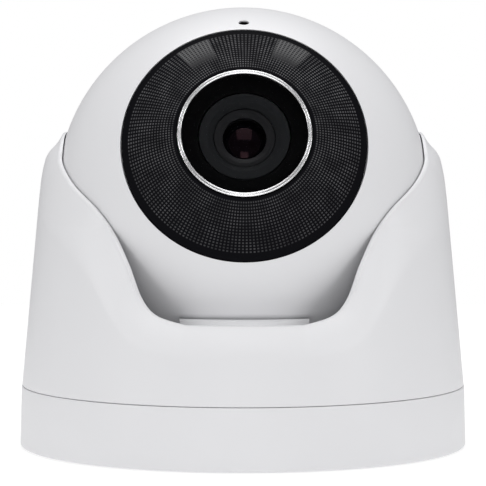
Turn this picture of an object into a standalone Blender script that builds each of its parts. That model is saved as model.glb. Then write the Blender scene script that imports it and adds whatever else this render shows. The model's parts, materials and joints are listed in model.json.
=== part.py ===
"""Turret dome security camera: a standing base, a turret cover that pans, an eyeball that tilts and rolls.

Sizes are in millimetres and are turned into metres by MM where a mesh is made. The object stands on z = 0,
with its pan axis on Z and its lens towards -Y. Pieces of the eyeball are modelled about the ball's centre,
with the lens axis as their own Z and the top of the face towards their own Y.
"""

import math

import bmesh
import bpy
from mathutils import Matrix, Vector

MM = 0.001

# Driving dimensions
BALL_RADIUS = 45.8
BASE_HEIGHT = 14.8
BASE_LIP = 0.5
SEAM = 0.35
SHELL_WALL = 2.4
COVER_WALL = 2.2
COVER_TAPER = 0.0941
REST_TILT = 21.0
GAP = 0.3
RUNNING_GAP = 0.35
SWEEP_GAP = 0.6
FACETS_LARGE = 52
FACETS_BALL = 36
FACETS_YOKE = 44
FACETS_MEDIUM = 24
FACETS_SMALL = 12

# Tilt yoke, which wraps the ball and carries it on two pins
YOKE_THICKNESS = 0.6
YOKE_HALF_WIDTH = 5.0
YOKE_EAR_RADIUS = 6.4
YOKE_INNER = BALL_RADIUS + RUNNING_GAP
YOKE_OUTER = YOKE_INNER + YOKE_THICKNESS
YOKE_PLATE_RADIUS = 9.0
YOKE_PLATE_DROP = 2.5
YOKE_PLATE_THICKNESS = 0.8
TILT_PIN_RADIUS = 2.5
BUSH_WALL = 0.8

# Base and pan bearing
BASE_WALL = 2.8
BASE_FLOOR = 2.6
BASE_EDGE = 0.7
HUB_BORE_RADIUS = 11.0
HUB_WALL = 3.0
HUB_TOP = BASE_HEIGHT - 0.4
GROOVE_DEPTH = 0.8
RETAINER_THICKNESS = 1.0
RETAINER_WIDTH = 3.8
RETAINER_TOP = HUB_TOP - 1.5
SPRING_THICKNESS = 0.5
SPRING_WIDTH = 3.4
CHASSIS_THICKNESS = 2.2
SLIP_THICKNESS = 0.8
SLIP_INNER = 30.0
SLIP_WIDTH = 3.5
WALL_SCREW_CIRCLE = 40.0
WALL_SCREW_RADIUS = 2.3
CONDUIT_HALF_WIDTH = 6.0
CONDUIT_HEIGHT = 7.0
LOCK_SCREW_RADIUS = 1.5
LOCK_SCREW_AZIMUTH = 60.0

# Heights and radii that follow
HUB_RADIUS = HUB_BORE_RADIUS + HUB_WALL
CHASSIS_TOP = RETAINER_TOP - RETAINER_THICKNESS - SPRING_THICKNESS - 2 * GAP
CHASSIS_BOTTOM = CHASSIS_TOP - CHASSIS_THICKNESS
SLIP_TOP = CHASSIS_BOTTOM - GAP
LAND_TOP = SLIP_TOP - SLIP_THICKNESS - GAP
BALL_HEIGHT = HUB_TOP + SWEEP_GAP + YOKE_OUTER
COVER_BOTTOM = BASE_HEIGHT + SEAM
COVER_CLEARANCE = 1.15
COVER_AXIS_RADIUS = YOKE_OUTER + COVER_CLEARANCE + COVER_WALL
COVER_FOOT_RADIUS = COVER_AXIS_RADIUS + COVER_TAPER * (BALL_HEIGHT - COVER_BOTTOM)
BASE_TOP_RADIUS = COVER_FOOT_RADIUS + 0.1
BASE_RADIUS = COVER_FOOT_RADIUS + BASE_LIP
BASE_INNER_RADIUS = BASE_TOP_RADIUS - BASE_WALL
CHASSIS_RADIUS = BASE_INNER_RADIUS - 0.6

# Cover: its roof falls at 45 degrees from the rim round the ball to the shoulder
RIM_ANGLE = 19.4
RIM_CLEARANCE = 0.5
RIM_LAND = 0.35
SHOULDER_FILLET = 5.0

# Half of the cutout's outline, from its floor to the rim: (x, height above the ball's centre) in ball radii
CUTOUT_SHAPE = (
    (0.300, -0.627),
    (0.448, -0.585),
    (0.527, -0.500),
    (0.592, -0.338),
    (0.672, -0.179),
    (0.765, -0.059),
    (0.896, 0.061),
    (0.968, 0.164),
    (0.975, 0.236),
    (0.965, 0.400),
)
CUTOUT_STEPS = 3

# Screws that hold the cover to the chassis
COVER_SCREW_CIRCLE = 47.3
COVER_SCREW_SHAFT = 1.2
COVER_SCREW_HEAD = 2.6
COVER_SCREW_HEAD_HEIGHT = 2.0
COVER_BOSS_RADIUS = 3.4
COVER_BOSS_HEIGHT = 13.0

# Collar on the chassis, with the tab that shows in the cutout's floor
COLLAR_INNER = 36.0
COLLAR_WALL = 1.7
COLLAR_RISE = 15.0
COLLAR_TAB_HALF_ANGLE = 24.0
COLLAR_TAB_GAP = 0.35
COLLAR_TAB_TOP = 28.2

# Eyeball shell
SPLIT = -8.0
REAR_FLAT = BALL_RADIUS - 5.3
FACE_RADIUS = 29.0
FACE_RECESS = 2.0
FACE_LEDGE = 2.0
FACE_LEDGE_THICKNESS = 1.0
ROLL_HUB_RADIUS = 5.0
ROLL_WASHER_THICKNESS = 0.8
ROLL_HUB_BORE = 3.5
ROLL_HUB_END = BALL_RADIUS + 0.1
ROLL_NUT_RADIUS = 7.5
ROLL_NUT_THICKNESS = 1.3
BALL_SCREW_CIRCLE = 39.6
BALL_SCREW_BOSS = 3.4
BALL_SCREW_HEAD = 2.2
BALL_SCREW_SHAFT = 1.1
SEAL_GROOVE_INNER = 43.35
SEAL_GROOVE_WIDTH = 1.1
SEAL_GROOVE_DEPTH = 1.1
SERVICE_HALF_WIDTH = 15.0
SERVICE_TOP = -12.0
SERVICE_BOTTOM = -27.0
SERVICE_LAND = 3.0
SERVICE_DOOR_WALL = 1.2
MIC_ANGLE = 44.0
MIC_HOLE_RADIUS = 1.3
MIC_BORE = 0.5
MIC_SUNK = 0.3
MIC_RADIUS = 1.9

# Face: diffuser, bright ring and window
RING_OUTER = 15.65
RING_WALL = 0.95
DIFFUSER_WALL = 2.0
DIFFUSER_SET_BACK = 0.15
RING_PROUD = 0.3
RING_DEPTH = 2.0
WINDOW_THICKNESS = 1.4
WINDOW_SET_BACK = 0.5
GASKET_INNER = 10.9
GASKET_THICKNESS = 0.8

# Lens, an M12 barrel in its holder
LENS_SET_BACK = 3.7
BARREL_RADIUS = 6.0
BARREL_FLANGE = 7.5
BARREL_LENGTH = 17.0
BARREL_WALL = 0.9
FRONT_LENS_RADIUS = 5.3
FRONT_LENS_DOME = 1.4
SHIELD_INNER = 8.0
SHIELD_OUTER = 10.6
SHIELD_LENGTH = 9.0

# Boards and what is on them
BOARD = 1.6
# The reset switch under the main board, and its plunger
RESET_ACROSS = 8.6
RESET_HALF = 2.6
RESET_FRONT = -29.5
RESET_DEPTH = 5.0
RESET_HEIGHT = 4.0
RESET_SOCKET = 2.6
RESET_RADIUS = 1.5

LED_BOARD_INNER = 16.5
LED_BOARD_OUTER = 26.0
LED_BOARD_DROP = 11.6
LED_CIRCLE = 21.0
LED_ANGLE = 26.5
LED_HALF = 2.6
LED_HEIGHT = 1.8
SENSOR_BOARD_HALF = 19.0
FRAME_LEG_CIRCLE = 23.0
FRAME_LEG_RADIUS = 2.1
FRAME_RING_INNER = 20.5
FRAME_RING_OUTER = 25.5
FRAME_RING_THICKNESS = 2.4
SPREADER_RADIUS = 30.0
SPREADER_THICKNESS = 3.0
MAIN_BOARD_RADIUS = 31.0
CHIP_HALF = 6.5
CHIP_HEIGHT = 2.0

# Infrared-cut filter changer
FILTER_WINDOW = 7.0
FILTER_RAIL = 1.2
FILTER_PITCH = FILTER_WINDOW + FILTER_RAIL
FILTER_HEIGHT = 1.4
FILTER_PLATE = 0.8
FILTER_GLASS = 0.8
FILTER_HALF_DEPTH = 8.0
FILTER_WALL = 1.2

# Heights along the lens axis that follow
FACE_FRONT = math.sqrt(BALL_RADIUS**2 - RING_OUTER**2)
WINDOW_FRONT = FACE_FRONT - WINDOW_SET_BACK
WINDOW_BACK = WINDOW_FRONT - WINDOW_THICKNESS
LENS_FRONT = FACE_FRONT - LENS_SET_BACK
BARREL_FRONT = LENS_FRONT - 0.6
BARREL_BACK = BARREL_FRONT - BARREL_LENGTH
LED_BOARD_TOP = FACE_FRONT - LED_BOARD_DROP
HOLDER_BOTTOM = BARREL_BACK - 6.6
FILTER_TOP = HOLDER_BOTTOM - GAP
FILTER_SLOT = FILTER_HEIGHT + 2 * GAP
FILTER_BOTTOM = FILTER_TOP - FILTER_SLOT - 2 * FILTER_PLATE
SENSOR_HEIGHT = 0.9
SENSOR_BOARD_TOP = FILTER_BOTTOM - SENSOR_HEIGHT - 2 * GAP
SPREADER_TOP = SPLIT + 2.0
MAIN_BOARD_TOP = SPREADER_TOP - SPREADER_THICKNESS - CHIP_HEIGHT - 2 * GAP


# Finishes ------------------------------------------------------------------

FINISHES = {
    "white_shell": ((0.80, 0.80, 0.82), 0.45, 0.0),
    "inner_plastic": ((0.70, 0.71, 0.72), 0.55, 0.0),
    "black_plastic": ((0.02, 0.02, 0.022), 0.5, 0.0),
    "smoked_diffuser": ((0.012, 0.012, 0.014), 0.3, 0.0),
    "bright_chrome": ((0.85, 0.85, 0.86), 0.12, 1.0),
    "window_glass": ((0.03, 0.03, 0.035), 0.04, 0.0),
    "lens_glass": ((0.05, 0.045, 0.08), 0.03, 0.0),
    "filter_glass": ((0.55, 0.75, 0.80), 0.05, 0.0),
    "anodised_black": ((0.03, 0.03, 0.033), 0.35, 0.9),
    "spring_steel": ((0.60, 0.60, 0.61), 0.3, 1.0),
    "zinc_steel": ((0.66, 0.66, 0.65), 0.32, 1.0),
    "aluminium": ((0.77, 0.78, 0.79), 0.38, 1.0),
    "board_green": ((0.02, 0.16, 0.07), 0.5, 0.0),
    "chip_black": ((0.03, 0.03, 0.03), 0.6, 0.0),
    "led_yellow": ((0.85, 0.65, 0.12), 0.35, 0.0),
    "black_rubber": ((0.025, 0.025, 0.025), 0.8, 0.0),
    "slip_acetal": ((0.86, 0.86, 0.83), 0.4, 0.0),
}


def material_for(finish: str, node: str) -> bpy.types.Material:
    """A Principled material of one finish for one piece."""
    colour, roughness, metallic = FINISHES[finish]
    made = bpy.data.materials.new(f"{node}_{finish}")
    made.use_nodes = True
    shader = made.node_tree.nodes["Principled BSDF"]
    shader.inputs["Base Color"].default_value = (*colour, 1.0)
    shader.inputs["Roughness"].default_value = roughness
    shader.inputs["Metallic"].default_value = metallic
    made.diffuse_color = (*colour, 1.0)
    return made


# Shapes --------------------------------------------------------------------


def turned(profile, facets: int) -> bmesh.types.BMesh:
    """A closed (radius, height) outline spun about Z; an edge that lies on the axis is left out."""
    shape = bmesh.new()
    points = [shape.verts.new((radius * MM, 0.0, height * MM)) for radius, height in profile]
    edges = []
    for start, end in zip(points, points[1:] + points[:1]):
        if start.co.x > 0.0 or end.co.x > 0.0:
            edges.append(shape.edges.new((start, end)))
    bmesh.ops.spin(
        shape,
        geom=points + edges,
        cent=(0, 0, 0),
        axis=(0, 0, 1),
        angle=math.tau,
        steps=facets,
        use_merge=True,
    )
    bmesh.ops.remove_doubles(shape, verts=shape.verts, dist=1e-7)
    bmesh.ops.recalc_face_normals(shape, faces=shape.faces)
    return shape


def block(low, high) -> bmesh.types.BMesh:
    """A box between two corners."""
    shape = bmesh.new()
    middle = (Vector(low) + Vector(high)) / 2 * MM
    size = (Vector(high) - Vector(low)) * MM
    bmesh.ops.create_cube(shape, size=1.0, matrix=Matrix.Translation(middle) @ Matrix.Diagonal((*size, 1.0)))
    return shape


def rod(radius: float, start, end, facets: int = FACETS_SMALL) -> bmesh.types.BMesh:
    """A cylinder between two points."""
    shape = bmesh.new()
    start, end = Vector(start) * MM, Vector(end) * MM
    run = end - start
    turn = run.to_track_quat("Z", "Y").to_matrix().to_4x4()
    bmesh.ops.create_cone(
        shape,
        cap_ends=True,
        segments=facets,
        radius1=radius * MM,
        radius2=radius * MM,
        depth=run.length,
        matrix=Matrix.Translation((start + end) / 2) @ turn,
    )
    return shape


def ring(inner: float, outer: float, bottom: float, top: float, facets: int) -> bmesh.types.BMesh:
    """A washer about Z."""
    return turned(((outer, top), (outer, bottom), (inner, bottom), (inner, top)), facets)


def disc(radius: float, bottom: float, top: float, facets: int) -> bmesh.types.BMesh:
    """A round plate on Z."""
    return turned(((0.0, top), (radius, top), (radius, bottom), (0.0, bottom)), facets)


def prism(outline, near: float, far: float) -> bmesh.types.BMesh:
    """An (x, z) outline carried along Y from near to far."""
    shape = bmesh.new()
    face = shape.faces.new([shape.verts.new((x * MM, near * MM, z * MM)) for x, z in outline])
    grown = bmesh.ops.extrude_face_region(shape, geom=[face])
    moved = [item for item in grown["geom"] if isinstance(item, bmesh.types.BMVert)]
    bmesh.ops.translate(shape, verts=moved, vec=(0.0, (far - near) * MM, 0.0))
    bmesh.ops.recalc_face_normals(shape, faces=shape.faces)
    return shape


def turn_to(shape: bmesh.types.BMesh, matrix: Matrix) -> bmesh.types.BMesh:
    """The same shape, moved by a matrix in metres."""
    bmesh.ops.transform(shape, matrix=matrix, verts=shape.verts)
    return shape


def arc(radius: float, start: float, end: float, steps: int, centre=(0.0, 0.0)):
    """Points on an arc, at angles in degrees above the horizontal."""
    for step in range(steps + 1):
        angle = math.radians(start + (end - start) * step / steps)
        yield centre[0] + radius * math.cos(angle), centre[1] + radius * math.sin(angle)


def rounded_corner(before, corner, after, radius: float, steps: int):
    """The arc that rounds the corner between two straight lines."""
    before, corner, after = Vector(before), Vector(corner), Vector(after)
    back, ahead = (before - corner).normalized(), (after - corner).normalized()
    half = back.angle(ahead) / 2
    centre = corner + (back + ahead).normalized() * (radius / math.sin(half))
    first = corner + back * (radius / math.tan(half)) - centre
    last = corner + ahead * (radius / math.tan(half)) - centre
    for step in range(steps + 1):
        way = first.slerp(last, step / steps).normalized()
        yield centre.x + radius * way.x, centre.y + radius * way.y


def smooth_through(points, steps: int):
    """A Catmull-Rom curve through points, with some steps in each span."""
    padded = [points[0], *points, points[-1]]
    for index in range(len(points) - 1):
        p0, p1, p2, p3 = (Vector(point) for point in padded[index : index + 4])
        for step in range(steps):
            t = step / steps
            bend = (2 * p0 - 5 * p1 + 4 * p2 - p3) * t**2 + (3 * p1 - p0 - 3 * p2 + p3) * t**3
            yield tuple(0.5 * (2 * p1 + (p2 - p0) * t + bend))
    yield points[-1]


def on_circle(circle: float, azimuth: float, height: float = 0.0):
    """A point at an azimuth in degrees on a circle about Z."""
    angle = math.radians(azimuth)
    return circle * math.cos(angle), circle * math.sin(angle), height


def sphere_height(radius: float, away: float) -> float:
    """How high a sphere stands at a distance from its axis."""
    return math.sqrt(radius**2 - away**2)


# Objects -------------------------------------------------------------------


def make_object(name: str, shape: bmesh.types.BMesh, parent) -> bpy.types.Object:
    """An object that holds a shape, under a parent."""
    mesh = bpy.data.meshes.new(name)
    shape.to_mesh(mesh)
    shape.free()
    made = bpy.data.objects.new(name, mesh)
    bpy.context.scene.collection.objects.link(made)
    made.parent = parent
    return made


def piece(name: str, shape: bmesh.types.BMesh, finish: str, parent=None) -> bpy.types.Object:
    """A named piece with its own material, smooth where it is round."""
    made = make_object(name, shape, parent)
    made.data.materials.append(material_for(finish, name))
    made.data.shade_smooth()
    made.data.set_sharp_from_angle(angle=math.radians(30))
    return made


def tool_object(name: str, shape: bmesh.types.BMesh, parent) -> bpy.types.Object:
    """A shape that only cuts or grows a piece, and isn't a piece itself."""
    made = make_object(name, shape, parent)
    made.hide_render = True
    made.display_type = "WIRE"
    return made


def combine(target: bpy.types.Object, operation: str, *shapes) -> None:
    """Boolean modifiers that cut, add or keep shapes, or tool objects made of them."""
    for number, tool in enumerate(shapes, start=len(target.modifiers) + 1):
        if isinstance(tool, bmesh.types.BMesh):
            tool = tool_object(f"{target.name}_{operation.lower()}_{number}", tool, target.parent)
        step = target.modifiers.new(f"{operation.title()} {number}", "BOOLEAN")
        step.operation = operation
        step.solver = "EXACT"
        step.object = tool


def cut(target, *shapes) -> None:
    """Take shapes away from a piece."""
    combine(target, "DIFFERENCE", *shapes)


def add(target, *shapes) -> None:
    """Grow shapes onto a piece."""
    combine(target, "UNION", *shapes)


def keep(target, *shapes) -> None:
    """Keep only what lies inside each shape."""
    combine(target, "INTERSECT", *shapes)


def empty(name: str, location=(0.0, 0.0, 0.0), tilt: float = 0.0, parent=None) -> bpy.types.Object:
    """An axis frame that pieces hang under."""
    made = bpy.data.objects.new(name, None)
    bpy.context.scene.collection.objects.link(made)
    made.location = Vector(location) * MM
    made.rotation_euler = (math.radians(tilt), 0.0, 0.0)
    made.parent = parent
    return made


# Base ----------------------------------------------------------------------


def build_base() -> None:
    """The tray that is screwed down, with the hub and land that the turret turns on."""
    land_outer = SLIP_INNER + SLIP_WIDTH
    groove_top = RETAINER_TOP + GAP
    groove_bottom = RETAINER_TOP - RETAINER_THICKNESS - GAP
    groove_radius = HUB_RADIUS - GROOVE_DEPTH
    base = piece(
        "mounting_base",
        turned(
            (
                (BASE_TOP_RADIUS - GAP, BASE_HEIGHT),
                (BASE_TOP_RADIUS, BASE_HEIGHT - GAP),
                (BASE_RADIUS, BASE_EDGE),
                (BASE_RADIUS - 0.2, BASE_EDGE * 0.3),
                (BASE_RADIUS - BASE_EDGE, 0.0),
                (HUB_BORE_RADIUS, 0.0),
                (HUB_BORE_RADIUS, HUB_TOP),
                (HUB_RADIUS, HUB_TOP),
                (HUB_RADIUS, groove_top),
                (groove_radius, groove_top),
                (groove_radius, groove_bottom),
                (HUB_RADIUS, groove_bottom),
                (HUB_RADIUS, BASE_FLOOR),
                (SLIP_INNER, BASE_FLOOR),
                (SLIP_INNER, LAND_TOP),
                (land_outer, LAND_TOP),
                (land_outer, BASE_FLOOR),
                (BASE_INNER_RADIUS, BASE_FLOOR),
                (BASE_INNER_RADIUS, BASE_HEIGHT),
            ),
            FACETS_LARGE,
        ),
        "white_shell",
    )
    for azimuth in (90.0, 210.0, 330.0):
        hole = on_circle(WALL_SCREW_CIRCLE, azimuth)
        cut(base, rod(WALL_SCREW_RADIUS, (*hole[:2], -1.0), (*hole[:2], BASE_FLOOR + 1.0)))
    conduit_low = BASE_FLOOR + 1.2
    conduit_high = conduit_low + CONDUIT_HEIGHT
    cut(
        base,
        block(
            (-CONDUIT_HALF_WIDTH, BASE_INNER_RADIUS - 2.0, conduit_low),
            (CONDUIT_HALF_WIDTH, BASE_RADIUS + 1.0, conduit_high),
        ),
    )
    lock_height = CHASSIS_BOTTOM + CHASSIS_THICKNESS / 2
    cut(
        base,
        rod(
            LOCK_SCREW_RADIUS + GAP,
            on_circle(BASE_INNER_RADIUS - 1.0, LOCK_SCREW_AZIMUTH, lock_height),
            on_circle(BASE_RADIUS + 1.0, LOCK_SCREW_AZIMUTH, lock_height),
        ),
    )

    plug = piece(
        "conduit_plug",
        ring(
            BASE_INNER_RADIUS + GAP,
            BASE_TOP_RADIUS - 0.1,
            conduit_low + GAP,
            conduit_high - GAP,
            FACETS_LARGE,
        ),
        "white_shell",
    )
    keep(
        plug,
        block(
            (GAP - CONDUIT_HALF_WIDTH, BASE_INNER_RADIUS - 3.0, 0.0),
            (CONDUIT_HALF_WIDTH - GAP, BASE_RADIUS + 1.0, BASE_HEIGHT),
        ),
    )
    piece(
        "pan_lock_screw",
        rod(
            LOCK_SCREW_RADIUS,
            on_circle(BASE_INNER_RADIUS + 0.1, LOCK_SCREW_AZIMUTH, lock_height),
            on_circle(BASE_TOP_RADIUS - 0.3, LOCK_SCREW_AZIMUTH, lock_height),
        ),
        "zinc_steel",
    )
    piece(
        "pan_slip_ring",
        ring(SLIP_INNER, land_outer, SLIP_TOP - SLIP_THICKNESS, SLIP_TOP, FACETS_BALL),
        "slip_acetal",
    )
    spring_bottom = CHASSIS_TOP + GAP
    piece(
        "pan_wave_spring",
        ring(
            HUB_RADIUS + GAP,
            HUB_RADIUS + SPRING_WIDTH,
            spring_bottom,
            spring_bottom + SPRING_THICKNESS,
            FACETS_MEDIUM,
        ),
        "spring_steel",
    )
    retainer = piece(
        "pan_retaining_ring",
        ring(
            groove_radius + GAP,
            HUB_RADIUS + RETAINER_WIDTH,
            RETAINER_TOP - RETAINER_THICKNESS,
            RETAINER_TOP,
            FACETS_MEDIUM,
        ),
        "spring_steel",
    )
    cut(retainer, block((-2.0, 0.0, 0.0), (2.0, HUB_RADIUS + 6.0, BASE_HEIGHT + 2.0)))


# Turret --------------------------------------------------------------------


def cover_radius(height: float) -> float:
    """The cover's outer radius on its cone."""
    return COVER_AXIS_RADIUS + COVER_TAPER * (BALL_HEIGHT - height)


def cover_profile():
    """The cover's outline: the rim, the roof, the shoulder, the cone and the inside."""
    rim_height = BALL_HEIGHT + BALL_RADIUS * math.sin(math.radians(RIM_ANGLE))
    rim_inner = sphere_height(BALL_RADIUS, rim_height - BALL_HEIGHT) + RIM_CLEARANCE
    rim = (rim_inner + RIM_LAND, rim_height)
    # The roof falls one for one; the cone grows by its taper
    drop = (cover_radius(rim_height) - rim[0]) / (1.0 - COVER_TAPER)
    shoulder = (rim[0] + drop, rim_height - drop)
    foot = (cover_radius(COVER_BOTTOM), COVER_BOTTOM)
    inner_sphere = [
        (sphere_height(BALL_RADIUS + clear, rise * BALL_RADIUS), BALL_HEIGHT + rise * BALL_RADIUS)
        for rise, clear in ((0.31, 0.75), (0.265, 1.1), (0.22, 1.5))
    ]
    inner_top = BALL_HEIGHT + 0.13 * BALL_RADIUS
    return (
        rim,
        *rounded_corner(rim, shoulder, foot, SHOULDER_FILLET, 5),
        (foot[0], foot[1] + GAP),
        (foot[0] - GAP, foot[1]),
        (foot[0] - COVER_WALL, foot[1]),
        (cover_radius(inner_top) - COVER_WALL, inner_top),
        *reversed(inner_sphere),
        (rim_inner, rim_height - 0.1),
    )


def cutout_outline():
    """The cutout's whole (x, z) outline, closed above the rim."""
    half = [
        (x * BALL_RADIUS, BALL_HEIGHT + z * BALL_RADIUS)
        for x, z in smooth_through(CUTOUT_SHAPE, CUTOUT_STEPS)
    ]
    return [*half, *((-x, z) for x, z in reversed(half))]


def build_turret(axis) -> None:
    """The cover, the chassis under it and the collar, which pan together on the hub."""
    cover = piece("body_cover", turned(cover_profile(), FACETS_LARGE), "white_shell", axis)
    boss_bottom = CHASSIS_TOP + GAP
    boss_top = boss_bottom + COVER_BOSS_HEIGHT
    rib_outer = cover_radius(boss_top) - COVER_WALL / 2
    screw_azimuths = (45.0, 135.0, 225.0, 315.0)
    for azimuth in screw_azimuths:
        spin = Matrix.Rotation(math.radians(azimuth), 4, "Z")
        rib = block((COVER_SCREW_CIRCLE, -0.9, COVER_BOTTOM + 0.8), (rib_outer, 0.9, boss_top))
        add(
            cover,
            rod(
                COVER_BOSS_RADIUS,
                on_circle(COVER_SCREW_CIRCLE, azimuth, boss_bottom),
                on_circle(COVER_SCREW_CIRCLE, azimuth, boss_top),
            ),
            turn_to(rib, spin),
        )
    cut(cover, prism(cutout_outline(), 0.0, -BASE_RADIUS - 5.0))
    pin_end = COVER_AXIS_RADIUS - 0.9
    for side in (-1.0, 1.0):
        cut(
            cover,
            rod(
                TILT_PIN_RADIUS + GAP,
                (side * YOKE_OUTER, 0.0, BALL_HEIGHT),
                (side * (pin_end + GAP), 0.0, BALL_HEIGHT),
            ),
        )
    for azimuth in screw_azimuths:
        cut(
            cover,
            rod(
                COVER_SCREW_SHAFT + GAP,
                on_circle(COVER_SCREW_CIRCLE, azimuth, boss_bottom - 1.0),
                on_circle(COVER_SCREW_CIRCLE, azimuth, boss_top - 2.0),
            ),
        )

    chassis = piece(
        "turret_chassis",
        ring(HUB_RADIUS + GAP, CHASSIS_RADIUS, CHASSIS_BOTTOM, CHASSIS_TOP, FACETS_LARGE),
        "inner_plastic",
        axis,
    )
    for azimuth in screw_azimuths:
        cut(
            chassis,
            rod(
                COVER_SCREW_SHAFT + 2 * GAP,
                on_circle(COVER_SCREW_CIRCLE, azimuth, CHASSIS_BOTTOM - 1.0),
                on_circle(COVER_SCREW_CIRCLE, azimuth, CHASSIS_TOP + 1.0),
            ),
        )
    for number, azimuth in enumerate(screw_azimuths, start=1):
        head_top = CHASSIS_BOTTOM - GAP
        screw = piece(
            f"chassis_screw_{number}",
            turned(
                (
                    (0.0, boss_top - 3.0),
                    (COVER_SCREW_SHAFT, boss_top - 3.0),
                    (COVER_SCREW_SHAFT, head_top),
                    (COVER_SCREW_HEAD, head_top),
                    (COVER_SCREW_HEAD, head_top - COVER_SCREW_HEAD_HEIGHT),
                    (0.0, head_top - COVER_SCREW_HEAD_HEIGHT),
                ),
                FACETS_SMALL,
            ),
            "zinc_steel",
            axis,
        )
        screw.location = Vector(on_circle(COVER_SCREW_CIRCLE, azimuth)) * MM

    build_collar(axis)
    for name, side in (("left", -1.0), ("right", 1.0)):
        piece(
            f"tilt_pin_{name}",
            rod(
                TILT_PIN_RADIUS,
                (side * YOKE_INNER, 0.0, BALL_HEIGHT),
                (side * pin_end, 0.0, BALL_HEIGHT),
                24,
            ),
            "zinc_steel",
            axis,
        )


def build_collar(axis) -> None:
    """A ring on the chassis whose front tab follows the ball up to the cutout's floor."""
    outer = COLLAR_INNER + COLLAR_WALL
    low = CHASSIS_TOP + GAP
    wall_top = low + COLLAR_RISE
    tab_top = BALL_HEIGHT - COLLAR_TAB_TOP
    wall = ring(COLLAR_INNER, outer, low, wall_top, FACETS_BALL)
    collar = piece("ball_collar", wall, "white_shell", axis)
    # The tab's inner face follows the ball, and its ends slant outwards
    follow = BALL_RADIUS + COLLAR_TAB_GAP
    inner_face = [
        (sphere_height(follow, BALL_HEIGHT - height), height)
        for height in (tab_top, (tab_top + wall_top) / 2 + 1.0, wall_top + 1.5)
    ]
    tab = turned(
        (
            (outer + 0.6, tab_top - 0.4),
            (outer, wall_top - 2.0),
            (COLLAR_INNER - 1.0, wall_top - 2.0),
            *reversed([(max(radius, 0.0), height) for radius, height in inner_face]),
        ),
        FACETS_BALL,
    )
    half_foot = outer * math.sin(math.radians(COLLAR_TAB_HALF_ANGLE - 4.0))
    half_head = outer * math.sin(math.radians(COLLAR_TAB_HALF_ANGLE))
    wedge = (
        (half_foot, low),
        (half_head, tab_top + 1.0),
        (-half_head, tab_top + 1.0),
        (-half_foot, low),
    )
    tab_tool = tool_object("ball_collar_tab", tab, axis)
    keep(tab_tool, prism(wedge, -20.0, -BASE_RADIUS))
    add(collar, tab_tool)
    cut(collar, block((-5.0, 20.0, low + 3.0), (5.0, outer + 3.0, wall_top + 1.0)))


# Cradle --------------------------------------------------------------------


def build_cradle(axis) -> None:
    """The steel yoke that tilts on the pins, with its bushes and the washer under the roll nut."""
    plate_top = -(REAR_FLAT + YOKE_PLATE_DROP)
    plate_bottom = plate_top - YOKE_PLATE_THICKNESS
    band = turned(
        (
            *arc(YOKE_OUTER, 8.5, -90.0, 14),
            *arc(YOKE_INNER, -90.0, 8.5, 14),
        ),
        FACETS_YOKE,
    )
    yoke = piece("tilt_yoke", band, "zinc_steel", axis)
    ears_and_strap = block(
        (-YOKE_OUTER - 1.0, -YOKE_HALF_WIDTH, -YOKE_OUTER - 1.0),
        (YOKE_OUTER + 1.0, YOKE_HALF_WIDTH, 0.0),
    )
    outline = tool_object("tilt_yoke_outline", ears_and_strap, axis)
    add(outline, rod(YOKE_EAR_RADIUS, (-YOKE_OUTER - 1.0, 0.0, 0.0), (YOKE_OUTER + 1.0, 0.0, 0.0), 24))
    keep(yoke, outline)
    cut(yoke, disc(YOKE_PLATE_RADIUS + 1.0, -YOKE_OUTER - 1.0, plate_bottom - 0.01, FACETS_MEDIUM))
    flat_half = sphere_height(YOKE_INNER + YOKE_THICKNESS / 2, -plate_top)
    add(
        yoke,
        disc(YOKE_PLATE_RADIUS, plate_bottom, plate_top, FACETS_MEDIUM),
        block(
            (-flat_half, -YOKE_HALF_WIDTH + 0.2, plate_bottom),
            (flat_half, YOKE_HALF_WIDTH - 0.2, plate_top),
        ),
    )
    bush_outer = TILT_PIN_RADIUS + GAP + BUSH_WALL
    cut(
        yoke,
        rod(bush_outer + GAP, (-YOKE_OUTER - 2.0, 0.0, 0.0), (YOKE_OUTER + 2.0, 0.0, 0.0), 24),
        rod(ROLL_HUB_RADIUS + GAP, (0.0, 0.0, plate_top + 1.0), (0.0, 0.0, plate_bottom - 3.0), 24),
    )
    for name, side in (("left", -1.0), ("right", 1.0)):
        bush = ring(TILT_PIN_RADIUS + GAP, bush_outer, YOKE_INNER, YOKE_OUTER + 0.3, 24)
        piece(
            f"yoke_bush_{name}",
            turn_to(bush, Matrix.Rotation(side * math.radians(90), 4, "Y")),
            "slip_acetal",
            axis,
        )
    piece(
        "roll_washer",
        ring(
            ROLL_HUB_RADIUS + GAP,
            YOKE_PLATE_RADIUS - 0.5,
            plate_top + GAP,
            plate_top + GAP + ROLL_WASHER_THICKNESS,
            FACETS_MEDIUM,
        ),
        "slip_acetal",
        axis,
    )


# Eyeball shell -------------------------------------------------------------


def service_box(shrink: float, deep: float, shallow: float):
    """A box round the service opening, which looks towards the ball's underside."""
    return block(
        (-SERVICE_HALF_WIDTH + shrink, -deep, SERVICE_BOTTOM + shrink),
        (SERVICE_HALF_WIDTH - shrink, -shallow, SERVICE_TOP - shrink),
    )


def ball_shell(outer: float, inner: float, facets: int):
    """A hollow ball, to be cut to a panel."""
    return turned(
        (
            *arc(outer, 89.9, -89.9, 18),
            *arc(inner, -89.9, 89.9, 18),
        ),
        facets,
    )


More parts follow.
